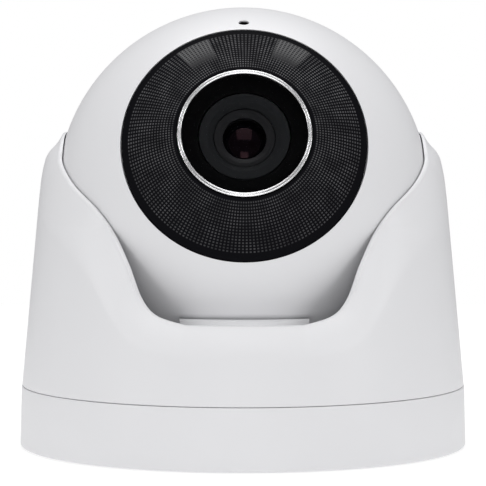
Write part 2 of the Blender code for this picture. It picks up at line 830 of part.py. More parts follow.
def build_shells(axis) -> None:
    """The two shells of the ball, with the seal, screws, gland and nut between and behind them."""
    inner = BALL_RADIUS - SHELL_WALL
    face_height = sphere_height(BALL_RADIUS, FACE_RADIUS)
    ledge_height = face_height - FACE_RECESS
    ledge_underside = ledge_height - FACE_LEDGE_THICKNESS
    front_inner_angle = math.degrees(math.asin(ledge_underside / inner))
    front = piece(
        "ball_front_shell",
        turned(
            (
                *arc(
                    BALL_RADIUS,
                    math.degrees(math.acos((FACE_RADIUS + 0.3) / BALL_RADIUS)),
                    math.degrees(math.asin(SPLIT / BALL_RADIUS)),
                    7,
                ),
                *arc(inner, math.degrees(math.asin(SPLIT / inner)), front_inner_angle, 6),
                (FACE_RADIUS - FACE_LEDGE, ledge_underside),
                (FACE_RADIUS - FACE_LEDGE, ledge_height),
                (FACE_RADIUS, ledge_height),
                (FACE_RADIUS, face_height),
            ),
            FACETS_BALL,
        ),
        "white_shell",
        axis,
    )
    screw_azimuths = (25.0, 155.0, 235.0, 305.0)
    boss_top = SPLIT + 12.0
    for azimuth in screw_azimuths:
        add(
            front,
            rod(
                BALL_SCREW_BOSS,
                on_circle(BALL_SCREW_CIRCLE, azimuth, SPLIT),
                on_circle(BALL_SCREW_CIRCLE, azimuth, boss_top),
            ),
        )
    mic = math.radians(MIC_ANGLE)
    mic_way = Vector((0.0, math.sin(mic), math.cos(mic)))
    cut(front, rod(MIC_HOLE_RADIUS, mic_way * (inner - 2.0), mic_way * (BALL_RADIUS + 2.0), 12))
    for azimuth in screw_azimuths:
        cut(
            front,
            rod(
                BALL_SCREW_SHAFT + GAP,
                on_circle(BALL_SCREW_CIRCLE, azimuth, SPLIT - 1.0),
                on_circle(BALL_SCREW_CIRCLE, azimuth, boss_top - 2.0),
                12,
            ),
        )

    rear_top = SPLIT - GAP
    rear_inner_flat = REAR_FLAT - SHELL_WALL
    rear = piece(
        "ball_rear_shell",
        turned(
            (
                *arc(
                    BALL_RADIUS,
                    math.degrees(math.asin(rear_top / BALL_RADIUS)),
                    -math.degrees(math.asin(REAR_FLAT / BALL_RADIUS)),
                    6,
                ),
                (ROLL_HUB_RADIUS, -REAR_FLAT),
                (ROLL_HUB_RADIUS, -ROLL_HUB_END),
                (ROLL_HUB_BORE, -ROLL_HUB_END),
                (ROLL_HUB_BORE, -rear_inner_flat),
                *arc(
                    inner,
                    -math.degrees(math.asin(rear_inner_flat / inner)),
                    math.degrees(math.asin(rear_top / inner)),
                    4,
                ),
            ),
            FACETS_BALL,
        ),
        "white_shell",
        axis,
    )
    head_seat = rear_top - 6.0
    boss_bottom = -sphere_height(inner, BALL_SCREW_CIRCLE - BALL_SCREW_BOSS) - 0.4
    for azimuth in screw_azimuths:
        boss = rod(
            BALL_SCREW_BOSS,
            on_circle(BALL_SCREW_CIRCLE, azimuth, boss_bottom),
            on_circle(BALL_SCREW_CIRCLE, azimuth, rear_top),
        )
        boss_tool = tool_object(f"ball_rear_shell_boss_{azimuth:.0f}", boss, axis)
        keep(boss_tool, turned((*arc(BALL_RADIUS - SHELL_WALL / 3, 90.0, -90.0, 12),), FACETS_BALL))
        add(rear, boss_tool)
    for azimuth in screw_azimuths:
        cut(
            rear,
            rod(
                BALL_SCREW_SHAFT + GAP,
                on_circle(BALL_SCREW_CIRCLE, azimuth, head_seat - 1.0),
                on_circle(BALL_SCREW_CIRCLE, azimuth, rear_top + 1.0),
                12,
            ),
            rod(
                BALL_SCREW_HEAD + GAP,
                on_circle(BALL_SCREW_CIRCLE, azimuth, -BALL_RADIUS),
                on_circle(BALL_SCREW_CIRCLE, azimuth, head_seat),
                12,
            ),
        )
    groove_outer = SEAL_GROOVE_INNER + SEAL_GROOVE_WIDTH
    groove_low = rear_top - SEAL_GROOVE_DEPTH
    cut(rear, ring(SEAL_GROOVE_INNER, groove_outer, groove_low, rear_top + 1.0, FACETS_BALL))
    recess = ball_shell(BALL_RADIUS + 2.0, BALL_RADIUS - SERVICE_DOOR_WALL - GAP, FACETS_BALL)
    recess_tool = tool_object("ball_rear_shell_recess", recess, axis)
    keep(recess_tool, service_box(0.0, BALL_RADIUS + 3.0, 10.0))
    cut(rear, recess_tool, service_box(SERVICE_LAND, BALL_RADIUS + 3.0, 20.0))

    for number, azimuth in enumerate(screw_azimuths, start=1):
        screw = piece(
            f"ball_screw_{number}",
            turned(
                (
                    (0.0, boss_top - 3.0),
                    (BALL_SCREW_SHAFT, boss_top - 3.0),
                    (BALL_SCREW_SHAFT, head_seat - GAP),
                    (BALL_SCREW_HEAD, head_seat - GAP),
                    (BALL_SCREW_HEAD, head_seat - GAP - 1.6),
                    (0.0, head_seat - GAP - 1.6),
                ),
                12,
            ),
            "zinc_steel",
            axis,
        )
        screw.location = Vector(on_circle(BALL_SCREW_CIRCLE, azimuth)) * MM
    piece(
        "ball_seal",
        ring(
            SEAL_GROOVE_INNER + GAP,
            groove_outer - GAP,
            rear_top - SEAL_GROOVE_DEPTH + GAP,
            rear_top,
            FACETS_BALL,
        ),
        "black_rubber",
        axis,
    )
    build_service_door(axis)

    plate_bottom = -(REAR_FLAT + 3.3)
    nut_top = plate_bottom - GAP
    nut = piece(
        "roll_nut",
        ring(ROLL_HUB_RADIUS + GAP, ROLL_NUT_RADIUS, nut_top - ROLL_NUT_THICKNESS, nut_top, 6 * 4),
        "zinc_steel",
        axis,
    )
    for azimuth in range(0, 360, 60):
        notch = on_circle(ROLL_NUT_RADIUS + 0.6, azimuth)
        cut(nut, rod(1.3, (*notch[:2], nut_top + 1.0), (*notch[:2], nut_top - 3.0), 12))
    piece(
        "cable_gland",
        turned(
            (
                (ROLL_HUB_BORE - GAP, -ROLL_HUB_END + 0.2),
                (ROLL_HUB_BORE - GAP - 0.9, -ROLL_HUB_END + 0.2),
                (ROLL_HUB_BORE - GAP - 0.9, GAP + 1.2 - rear_inner_flat),
                (ROLL_HUB_BORE + 1.2, GAP + 1.2 - rear_inner_flat),
                (ROLL_HUB_BORE + 1.2, GAP - rear_inner_flat),
                (ROLL_HUB_BORE - GAP, GAP - rear_inner_flat),
            ),
            24,
        ),
        "black_rubber",
        axis,
    )


def build_service_door(axis) -> None:
    """The curved door over the card slot, its seal and its two screws."""
    door_inner = BALL_RADIUS - SERVICE_DOOR_WALL
    skin = ball_shell(BALL_RADIUS - 0.05, door_inner, FACETS_BALL)
    door = piece("service_door", skin, "white_shell", axis)
    keep(door, service_box(GAP, BALL_RADIUS + 3.0, 10.0))
    pad = ball_shell(door_inner - GAP, door_inner - 1.6, FACETS_BALL)
    seal = piece("service_door_seal", pad, "black_rubber", axis)
    keep(seal, service_box(SERVICE_LAND + GAP, BALL_RADIUS + 3.0, 10.0))
    cut(seal, service_box(SERVICE_LAND + GAP + 1.3, BALL_RADIUS + 3.0, 10.0))
    middle = (SERVICE_TOP + SERVICE_BOTTOM) / 2
    for number, side in enumerate((-1.0, 1.0), start=1):
        across = side * (SERVICE_HALF_WIDTH - SERVICE_LAND / 2)
        way = Vector((across, -math.sqrt(BALL_RADIUS**2 - across**2 - middle**2), middle)).normalized()
        cut(door, rod(1.0 + GAP, way * (door_inner - 1.0), way * (BALL_RADIUS + 1.0), 12))
        piece(
            f"service_door_screw_{number}",
            rod(1.0, way * (door_inner - 0.05), way * (BALL_RADIUS - 0.25), 12),
            "zinc_steel",
            axis,
        )


# Face and lens -------------------------------------------------------------


def build_face(axis) -> None:
    """The diffuser, the bright ring, the window and its gasket."""
    outer = BALL_RADIUS - DIFFUSER_SET_BACK
    inner = outer - DIFFUSER_WALL
    edge = FACE_RADIUS - GAP
    hole = RING_OUTER + GAP
    piece(
        "diffuser_ring",
        turned(
            (
                *arc(
                    outer,
                    math.degrees(math.acos(hole / outer)),
                    math.degrees(math.acos(edge / outer)),
                    4,
                ),
                (edge, sphere_height(BALL_RADIUS, FACE_RADIUS) - FACE_RECESS + GAP),
                (edge - 2.0, sphere_height(BALL_RADIUS, FACE_RADIUS) - FACE_RECESS + GAP),
                *arc(
                    inner,
                    math.degrees(math.acos((edge - 2.6) / inner)),
                    math.degrees(math.acos(hole / inner)),
                    3,
                ),
            ),
            FACETS_BALL,
        ),
        "smoked_diffuser",
        axis,
    )
    ring_front = FACE_FRONT + RING_PROUD
    ring_inner = RING_OUTER - RING_WALL
    piece(
        "lens_ring",
        turned(
            (
                (ring_inner, ring_front - 0.2),
                (ring_inner + 0.2, ring_front),
                (RING_OUTER - 0.2, ring_front),
                (RING_OUTER, ring_front - 0.2),
                (RING_OUTER, ring_front - RING_DEPTH),
                (ring_inner, ring_front - RING_DEPTH),
            ),
            FACETS_BALL,
        ),
        "bright_chrome",
        axis,
    )
    piece(
        "window_glass",
        disc(ring_inner - GAP, WINDOW_BACK, WINDOW_FRONT, FACETS_BALL),
        "window_glass",
        axis,
    )
    piece(
        "window_gasket",
        ring(
            GASKET_INNER,
            RING_OUTER - 0.4,
            WINDOW_BACK - GAP - GASKET_THICKNESS,
            WINDOW_BACK - GAP,
            FACETS_BALL,
        ),
        "black_rubber",
        axis,
    )


def build_lens(axis) -> None:
    """The lens barrel with its glass, its retainer, the shield round it and the holder behind it."""
    shield_front = WINDOW_BACK - GAP
    piece(
        "light_shield",
        ring(SHIELD_INNER, SHIELD_OUTER, shield_front - SHIELD_LENGTH, shield_front, FACETS_MEDIUM),
        "black_plastic",
        axis,
    )
    bore = BARREL_RADIUS - BARREL_WALL
    seat = BARREL_FRONT - 2.2
    piece(
        "lens_barrel",
        turned(
            (
                (BARREL_FLANGE, BARREL_FRONT),
                (BARREL_FLANGE, BARREL_FRONT - 3.0),
                (BARREL_RADIUS, BARREL_FRONT - 3.4),
                (BARREL_RADIUS, BARREL_BACK),
                (bore - 1.2, BARREL_BACK),
                (bore - 1.2, BARREL_BACK + 2.0),
                (bore, BARREL_BACK + 2.0),
                (bore, seat),
                (FRONT_LENS_RADIUS + GAP, seat),
                (FRONT_LENS_RADIUS + GAP, BARREL_FRONT),
            ),
            FACETS_MEDIUM,
        ),
        "anodised_black",
        axis,
    )
    foot = BARREL_FRONT + GAP
    piece(
        "lens_retainer",
        ring(FRONT_LENS_RADIUS - 0.2, BARREL_FLANGE - GAP, foot, BARREL_FRONT + 0.9, FACETS_MEDIUM),
        "anodised_black",
        axis,
    )
    radius = (FRONT_LENS_RADIUS**2 / FRONT_LENS_DOME + FRONT_LENS_DOME) / 2
    half_angle = math.degrees(math.asin(FRONT_LENS_RADIUS / radius))
    crown = BARREL_FRONT - GAP - 0.2
    piece(
        "lens_front_element",
        turned(
            (
                *arc(radius, 90.0, 90.0 - half_angle, 4, (0.0, crown - radius)),
                (FRONT_LENS_RADIUS, seat + GAP),
                (0.0, seat + GAP),
            ),
            24,
        ),
        "lens_glass",
        axis,
    )
    piece(
        "lens_rear_element",
        disc(bore - GAP, BARREL_BACK + 2.0 + GAP, BARREL_BACK + 5.0, 24),
        "lens_glass",
        axis,
    )
    holder = piece(
        "lens_holder",
        block((-10.0, -8.0, HOLDER_BOTTOM), (10.0, 8.0, HOLDER_BOTTOM + 3.0)),
        "black_plastic",
        axis,
    )
    add(holder, disc(BARREL_RADIUS + GAP + 1.7, HOLDER_BOTTOM + 1.0, BARREL_BACK + 6.0, 24))
    cut(
        holder,
        disc(BARREL_RADIUS + GAP, BARREL_BACK - GAP, BARREL_BACK + 10.0, 24),
        disc(BARREL_RADIUS - 2.2, HOLDER_BOTTOM - 1.0, BARREL_BACK + 1.0, 24),
    )


def build_filter(axis, shuttle_axis) -> None:
    """The filter changer: a housing over the sensor, and the shuttle that slides in it."""
    slot_low = FILTER_BOTTOM + FILTER_PLATE
    slot_high = FILTER_TOP - FILTER_PLATE
    reach = FILTER_PITCH + FILTER_WINDOW / 2 + FILTER_RAIL
    slot_half = reach + GAP + 0.2
    housing = piece(
        "filter_housing",
        block(
            (-slot_half - FILTER_WALL, -FILTER_HALF_DEPTH, FILTER_BOTTOM),
            (slot_half + FILTER_WALL, FILTER_HALF_DEPTH, FILTER_TOP),
        ),
        "black_plastic",
        axis,
    )
    shuttle_half = FILTER_WINDOW / 2 + FILTER_RAIL
    slot_depth = shuttle_half + GAP
    cut(
        housing,
        block((-slot_half, -slot_depth, slot_low), (slot_half, slot_depth, slot_high)),
        disc(FILTER_WINDOW / 2, FILTER_BOTTOM - 1.0, FILTER_TOP + 1.0, 24),
    )
    low = slot_low + GAP
    high = low + FILTER_HEIGHT
    shuttle = piece(
        "filter_shuttle",
        block((-shuttle_half, -shuttle_half, low), (FILTER_PITCH + shuttle_half, shuttle_half, high)),
        "black_plastic",
        shuttle_axis,
    )
    half = FILTER_WINDOW / 2
    glass_low = (low + high - FILTER_GLASS) / 2
    for name, centre in (("ir_cut_glass", 0.0), ("clear_glass", FILTER_PITCH)):
        cut(shuttle, block((centre - half, -half, low - 1.0), (centre + half, half, high + 1.0)))
        piece(
            name,
            block(
                (centre - half + GAP, -half + GAP, glass_low),
                (centre + half - GAP, half - GAP, glass_low + FILTER_GLASS),
            ),
            "filter_glass",
            shuttle_axis,
        )


# Boards --------------------------------------------------------------------


def build_boards(axis) -> None:
    """The sensor, LED and main boards, on the frame and the heat spreader that carry them."""
    sensor_board_bottom = SENSOR_BOARD_TOP - BOARD
    piece(
        "image_sensor",
        block(
            (-6.0, -4.5, SENSOR_BOARD_TOP + GAP),
            (6.0, 4.5, SENSOR_BOARD_TOP + GAP + SENSOR_HEIGHT),
        ),
        "chip_black",
        axis,
    )
    half = SENSOR_BOARD_HALF
    piece(
        "sensor_board",
        block((-half, -half, sensor_board_bottom), (half, half, SENSOR_BOARD_TOP)),
        "board_green",
        axis,
    )
    led_bottom = LED_BOARD_TOP - BOARD
    piece(
        "led_board",
        ring(LED_BOARD_INNER, LED_BOARD_OUTER, led_bottom, LED_BOARD_TOP, FACETS_MEDIUM),
        "board_green",
        axis,
    )
    for name, azimuth in (("left", 90.0 + LED_ANGLE), ("right", 90.0 - LED_ANGLE)):
        low = LED_BOARD_TOP + GAP
        led = block((-LED_HALF, -LED_HALF, low), (LED_HALF, LED_HALF, low + LED_HEIGHT))
        place = Matrix.Translation(Vector(on_circle(LED_CIRCLE, azimuth)) * MM)
        spin = Matrix.Rotation(math.radians(azimuth), 4, "Z")
        piece(f"led_{name}", turn_to(led, place @ spin), "led_yellow", axis)

    ring_top = led_bottom - GAP
    frame = piece(
        "inner_frame",
        ring(FRAME_RING_INNER, FRAME_RING_OUTER, ring_top - FRAME_RING_THICKNESS, ring_top, FACETS_MEDIUM),
        "black_plastic",
        axis,
    )
    leg_bottom = SPREADER_TOP + GAP
    half_facet = 180.0 / FACETS_MEDIUM
    for azimuth in (0.0, 90.0, 180.0, 270.0):
        azimuth += half_facet
        add(
            frame,
            rod(
                FRAME_LEG_RADIUS,
                on_circle(FRAME_LEG_CIRCLE, azimuth, leg_bottom),
                on_circle(FRAME_LEG_CIRCLE, azimuth, ring_top - 1.0),
                12,
            ),
        )
    shelf_top = sensor_board_bottom - GAP
    for azimuth in (0.0, 180.0):
        shelf = block((17.0, -3.0, shelf_top - 2.0), (FRAME_LEG_CIRCLE - 0.7, 3.0, shelf_top))
        add(frame, turn_to(shelf, Matrix.Rotation(math.radians(azimuth + half_facet), 4, "Z")))

    piece(
        "heat_spreader",
        disc(SPREADER_RADIUS, SPREADER_TOP - SPREADER_THICKNESS, SPREADER_TOP, FACETS_MEDIUM),
        "aluminium",
        axis,
    )
    chip_low = MAIN_BOARD_TOP + GAP
    piece(
        "processor_chip",
        block((-CHIP_HALF, -CHIP_HALF, chip_low), (CHIP_HALF, CHIP_HALF, chip_low + CHIP_HEIGHT)),
        "chip_black",
        axis,
    )
    board_bottom = MAIN_BOARD_TOP - BOARD
    main_board = piece(
        "main_board",
        disc(MAIN_BOARD_RADIUS, board_bottom, MAIN_BOARD_TOP, FACETS_MEDIUM),
        "board_green",
        axis,
    )
    cut(main_board, block((-20.0, MAIN_BOARD_RADIUS - 3.0, -40.0), (20.0, MAIN_BOARD_RADIUS + 3.0, 0.0)))
    socket_low = board_bottom - GAP - 3.0
    socket = piece(
        "card_socket",
        block((-10.5, -29.5, socket_low), (3.5, -15.0, board_bottom - GAP)),
        "zinc_steel",
        axis,
    )
    cut(socket, block((-9.3, -30.5, socket_low + 0.9), (2.3, -17.0, socket_low + 2.1)))


def build_reset(axis, button_axis) -> None:
    """The reset switch under the main board, and the plunger that a fingertip pushes in."""
    top = MAIN_BOARD_TOP - BOARD - GAP
    low = top - RESET_HEIGHT
    middle = (top + low) / 2
    back = RESET_FRONT + RESET_DEPTH
    body = block(
        (RESET_ACROSS - RESET_HALF, RESET_FRONT, low), (RESET_ACROSS + RESET_HALF, back, top)
    )
    switch = piece("reset_switch", body, "chip_black", axis)
    socket_end = RESET_FRONT + RESET_SOCKET
    hole = rod(
        RESET_RADIUS + GAP,
        (RESET_ACROSS, RESET_FRONT - 1.0, middle),
        (RESET_ACROSS, socket_end, middle),
        12,
    )
    cut(switch, hole)
    plunger = rod(
        RESET_RADIUS,
        (RESET_ACROSS, RESET_FRONT - 2.0, middle),
        (RESET_ACROSS, socket_end - 0.8, middle),
        12,
    )
    piece("reset_button", plunger, "slip_acetal", button_axis)


def build_microphone(axis) -> None:
    """The microphone behind its hole over the face, and the gasket that seals it."""
    angle = math.radians(MIC_ANGLE)
    way = Vector((0.0, math.sin(angle), math.cos(angle)))
    inner = BALL_RADIUS - SHELL_WALL
    nozzle = MIC_HOLE_RADIUS - GAP
    gasket = turned(
        (
            (MIC_BORE, inner - 1.4),
            (MIC_RADIUS, inner - 1.4),
            (MIC_RADIUS, inner - 0.6),
            (nozzle, inner - 0.6),
            (nozzle, BALL_RADIUS - MIC_SUNK),
            (MIC_BORE, BALL_RADIUS - MIC_SUNK),
        ),
        FACETS_SMALL,
    )
    turn = Matrix.Rotation(-angle, 4, "X")
    piece("mic_gasket", turn_to(gasket, turn), "black_rubber", axis)
    piece("mic_capsule", rod(MIC_RADIUS, way * (inner - 3.3), way * (inner - 1.7)), "zinc_steel", axis)


# Assembly ------------------------------------------------------------------


def build() -> None:
    """Build the camera, body by body."""
    for old in list(bpy.data.objects):
        bpy.data.objects.remove(old)
    build_base()
    turret_axis = empty("pan_axis")
    build_turret(turret_axis)
    ball_centre = (0.0, 0.0, BALL_HEIGHT)
    lens_turn = 90.0 - REST_TILT
    tilt_axis = empty("tilt_axis", ball_centre, lens_turn, turret_axis)
    build_cradle(tilt_axis)
    roll_axis = empty("roll_axis", parent=tilt_axis)
    build_shells(roll_axis)
    build_face(roll_axis)
    build_lens(roll_axis)
    build_filter(roll_axis, empty("filter_axis", parent=roll_axis))
    build_boards(roll_axis)
    build_reset(roll_axis, empty("button_axis", parent=roll_axis))
    build_microphone(roll_axis)


build()
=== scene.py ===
"""The looks of a turret dome security camera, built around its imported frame.

The object stands on z = 0 with its pan axis on Z and its lens towards -Y. Sizes are in millimetres and
become metres by MM where a mesh is made. Pieces of the eyeball are modelled about the ball's centre, with the
lens axis as their own Z and the top of the face towards their own Y, and are then set in the frame by the
eyeball's axes.
"""

from __future__ import annotations

import json
import logging
import math
from dataclasses import dataclass, field
from enum import Enum
from typing import Any, Iterable, Mapping, Sequence

import bpy
import numpy as np
from mathutils import Matrix, Vector
from mathutils.kdtree import KDTree

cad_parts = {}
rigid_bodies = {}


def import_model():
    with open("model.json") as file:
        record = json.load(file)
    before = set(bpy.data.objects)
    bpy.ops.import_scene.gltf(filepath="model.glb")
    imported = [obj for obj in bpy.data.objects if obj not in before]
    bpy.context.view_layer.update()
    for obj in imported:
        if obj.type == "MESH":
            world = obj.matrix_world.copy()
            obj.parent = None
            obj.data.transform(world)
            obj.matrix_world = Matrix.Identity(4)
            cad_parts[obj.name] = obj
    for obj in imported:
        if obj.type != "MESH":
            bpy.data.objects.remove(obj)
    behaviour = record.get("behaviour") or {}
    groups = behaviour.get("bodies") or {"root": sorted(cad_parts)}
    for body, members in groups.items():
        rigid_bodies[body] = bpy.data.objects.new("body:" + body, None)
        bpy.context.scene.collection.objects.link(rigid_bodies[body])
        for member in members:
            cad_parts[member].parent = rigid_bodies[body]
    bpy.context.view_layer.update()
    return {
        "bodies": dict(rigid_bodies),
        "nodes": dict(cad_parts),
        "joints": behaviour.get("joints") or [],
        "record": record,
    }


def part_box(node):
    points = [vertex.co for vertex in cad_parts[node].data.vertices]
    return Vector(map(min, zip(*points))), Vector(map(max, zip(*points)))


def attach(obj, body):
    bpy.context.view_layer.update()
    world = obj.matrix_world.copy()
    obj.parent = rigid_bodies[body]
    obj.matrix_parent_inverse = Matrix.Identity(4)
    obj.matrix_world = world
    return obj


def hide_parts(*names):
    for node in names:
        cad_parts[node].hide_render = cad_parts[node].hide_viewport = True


log = logging.getLogger("turret_camera")

MM = 0.001
MERGE = 1e-6
FINE = 288
ROUND = 64
Outline = Sequence[Sequence[float]]
Colour = tuple[float, float, float]


class Body(str, Enum):
    """The bodies that pieces ride on."""

    BASE = "base"
    TURRET = "turret"
    EYEBALL = "eyeball"


class Cut(str, Enum):
    """How one shape changes another."""

    AWAY = "DIFFERENCE"
    ADD = "UNION"
    KEEP = "INTERSECT"


# Modelling -----------------------------------------------------------------


def clear_selection() -> None:
    """Leave object mode with nothing selected."""
    if bpy.context.mode != "OBJECT":
        bpy.ops.object.mode_set(mode="OBJECT")
    bpy.ops.object.select_all(action="DESELECT")


def pick(piece: bpy.types.Object) -> bpy.types.Object:
    """Select one object alone and make it active."""
    clear_selection()
    piece.select_set(True)
    bpy.context.view_layer.objects.active = piece
    return piece


def settle(piece: bpy.types.Object, place: Matrix | None = None) -> bpy.types.Object:
    """Move a piece by a matrix and put its place into its mesh.

    Args:
        piece: The object to move.
        place: The move, or None to keep the piece where it stands.

    Returns:
        The piece, at the origin, unturned and unscaled.
    """
    pick(piece)
    if place is not None:
        piece.matrix_world = place @ piece.matrix_world
    bpy.ops.object.transform_apply(location=True, rotation=True, scale=True)
    return piece


def smooth(piece: bpy.types.Object, degrees: float = 32.0) -> bpy.types.Object:
    """Shade a piece smooth, with its sharper edges kept."""
    pick(piece)
    bpy.ops.object.shade_smooth_by_angle(angle=math.radians(degrees))
    return piece


def apply_modifier(piece: bpy.types.Object, kind: str, **settings: Any) -> bpy.types.Object:
    """Add a modifier of one kind, set it and apply it.

    Args:
        piece: The object to change.
        kind: The modifier's type, such as BEVEL.
        **settings: The modifier's own properties.

    Returns:
        The piece, with the modifier in its mesh.
    """
    step = piece.modifiers.new(kind.title(), kind)
    for name, value in settings.items():
        setattr(step, name, value)
    pick(piece)
    bpy.ops.object.modifier_apply(modifier=step.name)
    return piece


def combine(piece: bpy.types.Object, how: Cut, *tools: bpy.types.Object) -> bpy.types.Object:
    """Change a piece by tool shapes, which are used up.

    Args:
        piece: The object that is cut or grown.
        how: Whether the tools take away, add or keep.
        *tools: Closed shapes.

    Returns:
        The piece.
    """
    for tool in tools:
        apply_modifier(piece, "BOOLEAN", operation=how.value, solver="EXACT", object=tool)
        bpy.data.objects.remove(tool)
    return piece


def arc(radius: float, start: float, end: float, steps: int, lift: float = 0.0) -> list[tuple[float, float]]:
    """Points on an arc about a point of the axis.

    Args:
        radius: The arc's radius.
        start: The first angle above the horizontal, in degrees.
        end: The last angle.
        steps: How many spans it has.
        lift: The height of the arc's centre.

    Returns:
        The (radius, height) points.
    """
    angles = (math.radians(start + (end - start) * step / steps) for step in range(steps + 1))
    return [(radius * math.cos(angle), lift + radius * math.sin(angle)) for angle in angles]


def eased(points: Outline, steps: int = 5) -> list[tuple[float, float]]:
    """Round the corners of a closed outline.

    Args:
        points: (radius, height) points; a third number is that corner's radius.
        steps: How many spans each rounded corner gets.

    Returns:
        The outline with its arcs in place.
    """
    outline: list[tuple[float, float]] = []
    for index, point in enumerate(points):
        corner = Vector(point[:2])
        if len(point) < 3:
            outline.append(tuple(corner))
            continue
        back = Vector(points[index - 1][:2]) - corner
        ahead = Vector(points[(index + 1) % len(points)][:2]) - corner
        half = back.angle(ahead) / 2
        reach = min(point[2] / math.tan(half), 0.45 * back.length, 0.45 * ahead.length)
        radius = reach * math.tan(half)
        centre = corner + (back.normalized() + ahead.normalized()).normalized() * (radius / math.sin(half))
        first = corner + back.normalized() * reach - centre
        last = corner + ahead.normalized() * reach - centre
        start = math.atan2(first.y, first.x)
        sweep = (math.atan2(last.y, last.x) - start + math.pi) % math.tau - math.pi
        for step in range(steps + 1):
            angle = start + sweep * step / steps
            outline.append((centre.x + radius * math.cos(angle), centre.y + radius * math.sin(angle)))
    return outline


def turned(name: str, outline: Outline, facets: int = FINE, place: Matrix | None = None) -> bpy.types.Object:
    """Turn a (radius, height) outline about Z, as on a lathe.

    A vertex is extruded along the outline and spun. An outline that starts and ends on the axis stays open
    there, and any other is closed into a ring.

    Args:
        name: The piece's name.
        outline: The outline in millimetres.
        facets: How many steps the turn has.
        place: Where the turned shape goes, or None for the Z axis.

    Returns:
        The closed shape.
    """
    points = [Vector((radius * MM, 0.0, height * MM)) for radius, height in outline]
    if outline[0][0] > 0.0 or outline[-1][0] > 0.0:
        points.append(points[0])
    clear_selection()
    bpy.ops.mesh.primitive_plane_add(size=MM, location=points[0])
    piece = bpy.context.active_object
    piece.name = piece.data.name = name
    settle(piece)
    bpy.ops.object.mode_set(mode="EDIT")
    bpy.ops.mesh.select_mode(type="VERT")
    bpy.ops.mesh.select_all(action="SELECT")
    bpy.ops.mesh.merge(type="CENTER")
    for start, end in zip(points, points[1:]):
        bpy.ops.mesh.extrude_region_move(TRANSFORM_OT_translate={"value": end - start})
    bpy.ops.mesh.select_all(action="SELECT")
    bpy.ops.mesh.remove_doubles(threshold=MERGE)
    bpy.ops.mesh.spin(steps=facets, angle=math.tau, center=(0.0, 0.0, 0.0), axis=(0.0, 0.0, 1.0))
    bpy.ops.mesh.select_all(action="SELECT")
    bpy.ops.mesh.remove_doubles(threshold=MERGE)
    bpy.ops.mesh.normals_make_consistent(inside=False)
    bpy.ops.object.mode_set(mode="OBJECT")
    return settle(piece, place)


def block(low: Sequence[float], high: Sequence[float], place: Matrix | None = None) -> bpy.types.Object:
    """A box between two corners, to cut with."""
    clear_selection()
    middle = (Vector(low) + Vector(high)) / 2 * MM
    bpy.ops.mesh.primitive_cube_add(size=1.0, location=middle, scale=(Vector(high) - Vector(low)) * MM)
    return settle(bpy.context.active_object, place)


def rod(radius: float, start: Vector, end: Vector, place: Matrix | None = None) -> bpy.types.Object:
    """A cylinder between two points, to cut with."""
    clear_selection()
    run = (end - start) * MM
    bpy.ops.mesh.primitive_cylinder_add(
        vertices=ROUND,
        radius=radius * MM,
        depth=run.length,
        location=(start + end) / 2 * MM,
        rotation=run.to_track_quat("Z", "Y").to_euler(),
    )
    return settle(bpy.context.active_object, place)


def on_circle(circle: float, azimuth: float, height: float = 0.0) -> Vector:
    """A point at an azimuth in degrees on a circle about Z."""
    angle = math.radians(azimuth)
    return Vector((circle * math.cos(angle), circle * math.sin(angle), height))


def sphere_height(radius: float, away: float) -> float:
    """How high a sphere stands at a distance from its axis."""
    return math.sqrt(radius**2 - away**2)


# Shader maths --------------------------------------------------------------


class Wire:
    """A number socket of a material, on which Python's arithmetic adds Math nodes."""

    def __init__(self, recipe: "Recipe", socket: bpy.types.NodeSocket) -> None:
        """Hold a socket and the recipe that it belongs to."""
        self.recipe = recipe
        self.socket = socket

    def _maths(self, operation: str, *values: "Wire | float") -> "Wire":
        """A Math node over some values."""
        node = self.recipe.node("ShaderNodeMath", {"operation": operation}, dict(enumerate(values)))
        return Wire(self.recipe, node.outputs[0])

    def __add__(self, other: "Wire | float") -> "Wire":
        """The sum."""
        return self._maths("ADD", self, other)

    def __sub__(self, other: "Wire | float") -> "Wire":
        """The difference."""
        return self._maths("SUBTRACT", self, other)

    def __rsub__(self, other: "Wire | float") -> "Wire":
        """The difference from a number."""
        return self._maths("SUBTRACT", other, self)

    def __mul__(self, other: "Wire | float") -> "Wire":
        """The product."""
        return self._maths("MULTIPLY", self, other)

    __radd__ = __add__
    __rmul__ = __mul__

    def fraction(self) -> "Wire":
        """What is left above the whole number below."""
        return self._maths("FRACT", self)

    def size(self) -> "Wire":
        """The value without its sign."""
        return self._maths("ABSOLUTE", self)

    def greater(self, other: "Wire | float") -> "Wire":
        """The larger of two values."""
        return self._maths("MAXIMUM", self, other)

    def rise(self, low: float, high: float) -> "Wire":
        """A smooth step from 0 at the low value to 1 at the high one."""
        node = self.recipe.node(
            "ShaderNodeMapRange",
            {"interpolation_type": "SMOOTHSTEP"},
            {"Value": self, "From Min": low, "From Max": high},
        )
        return Wire(self.recipe, node.outputs["Result"])


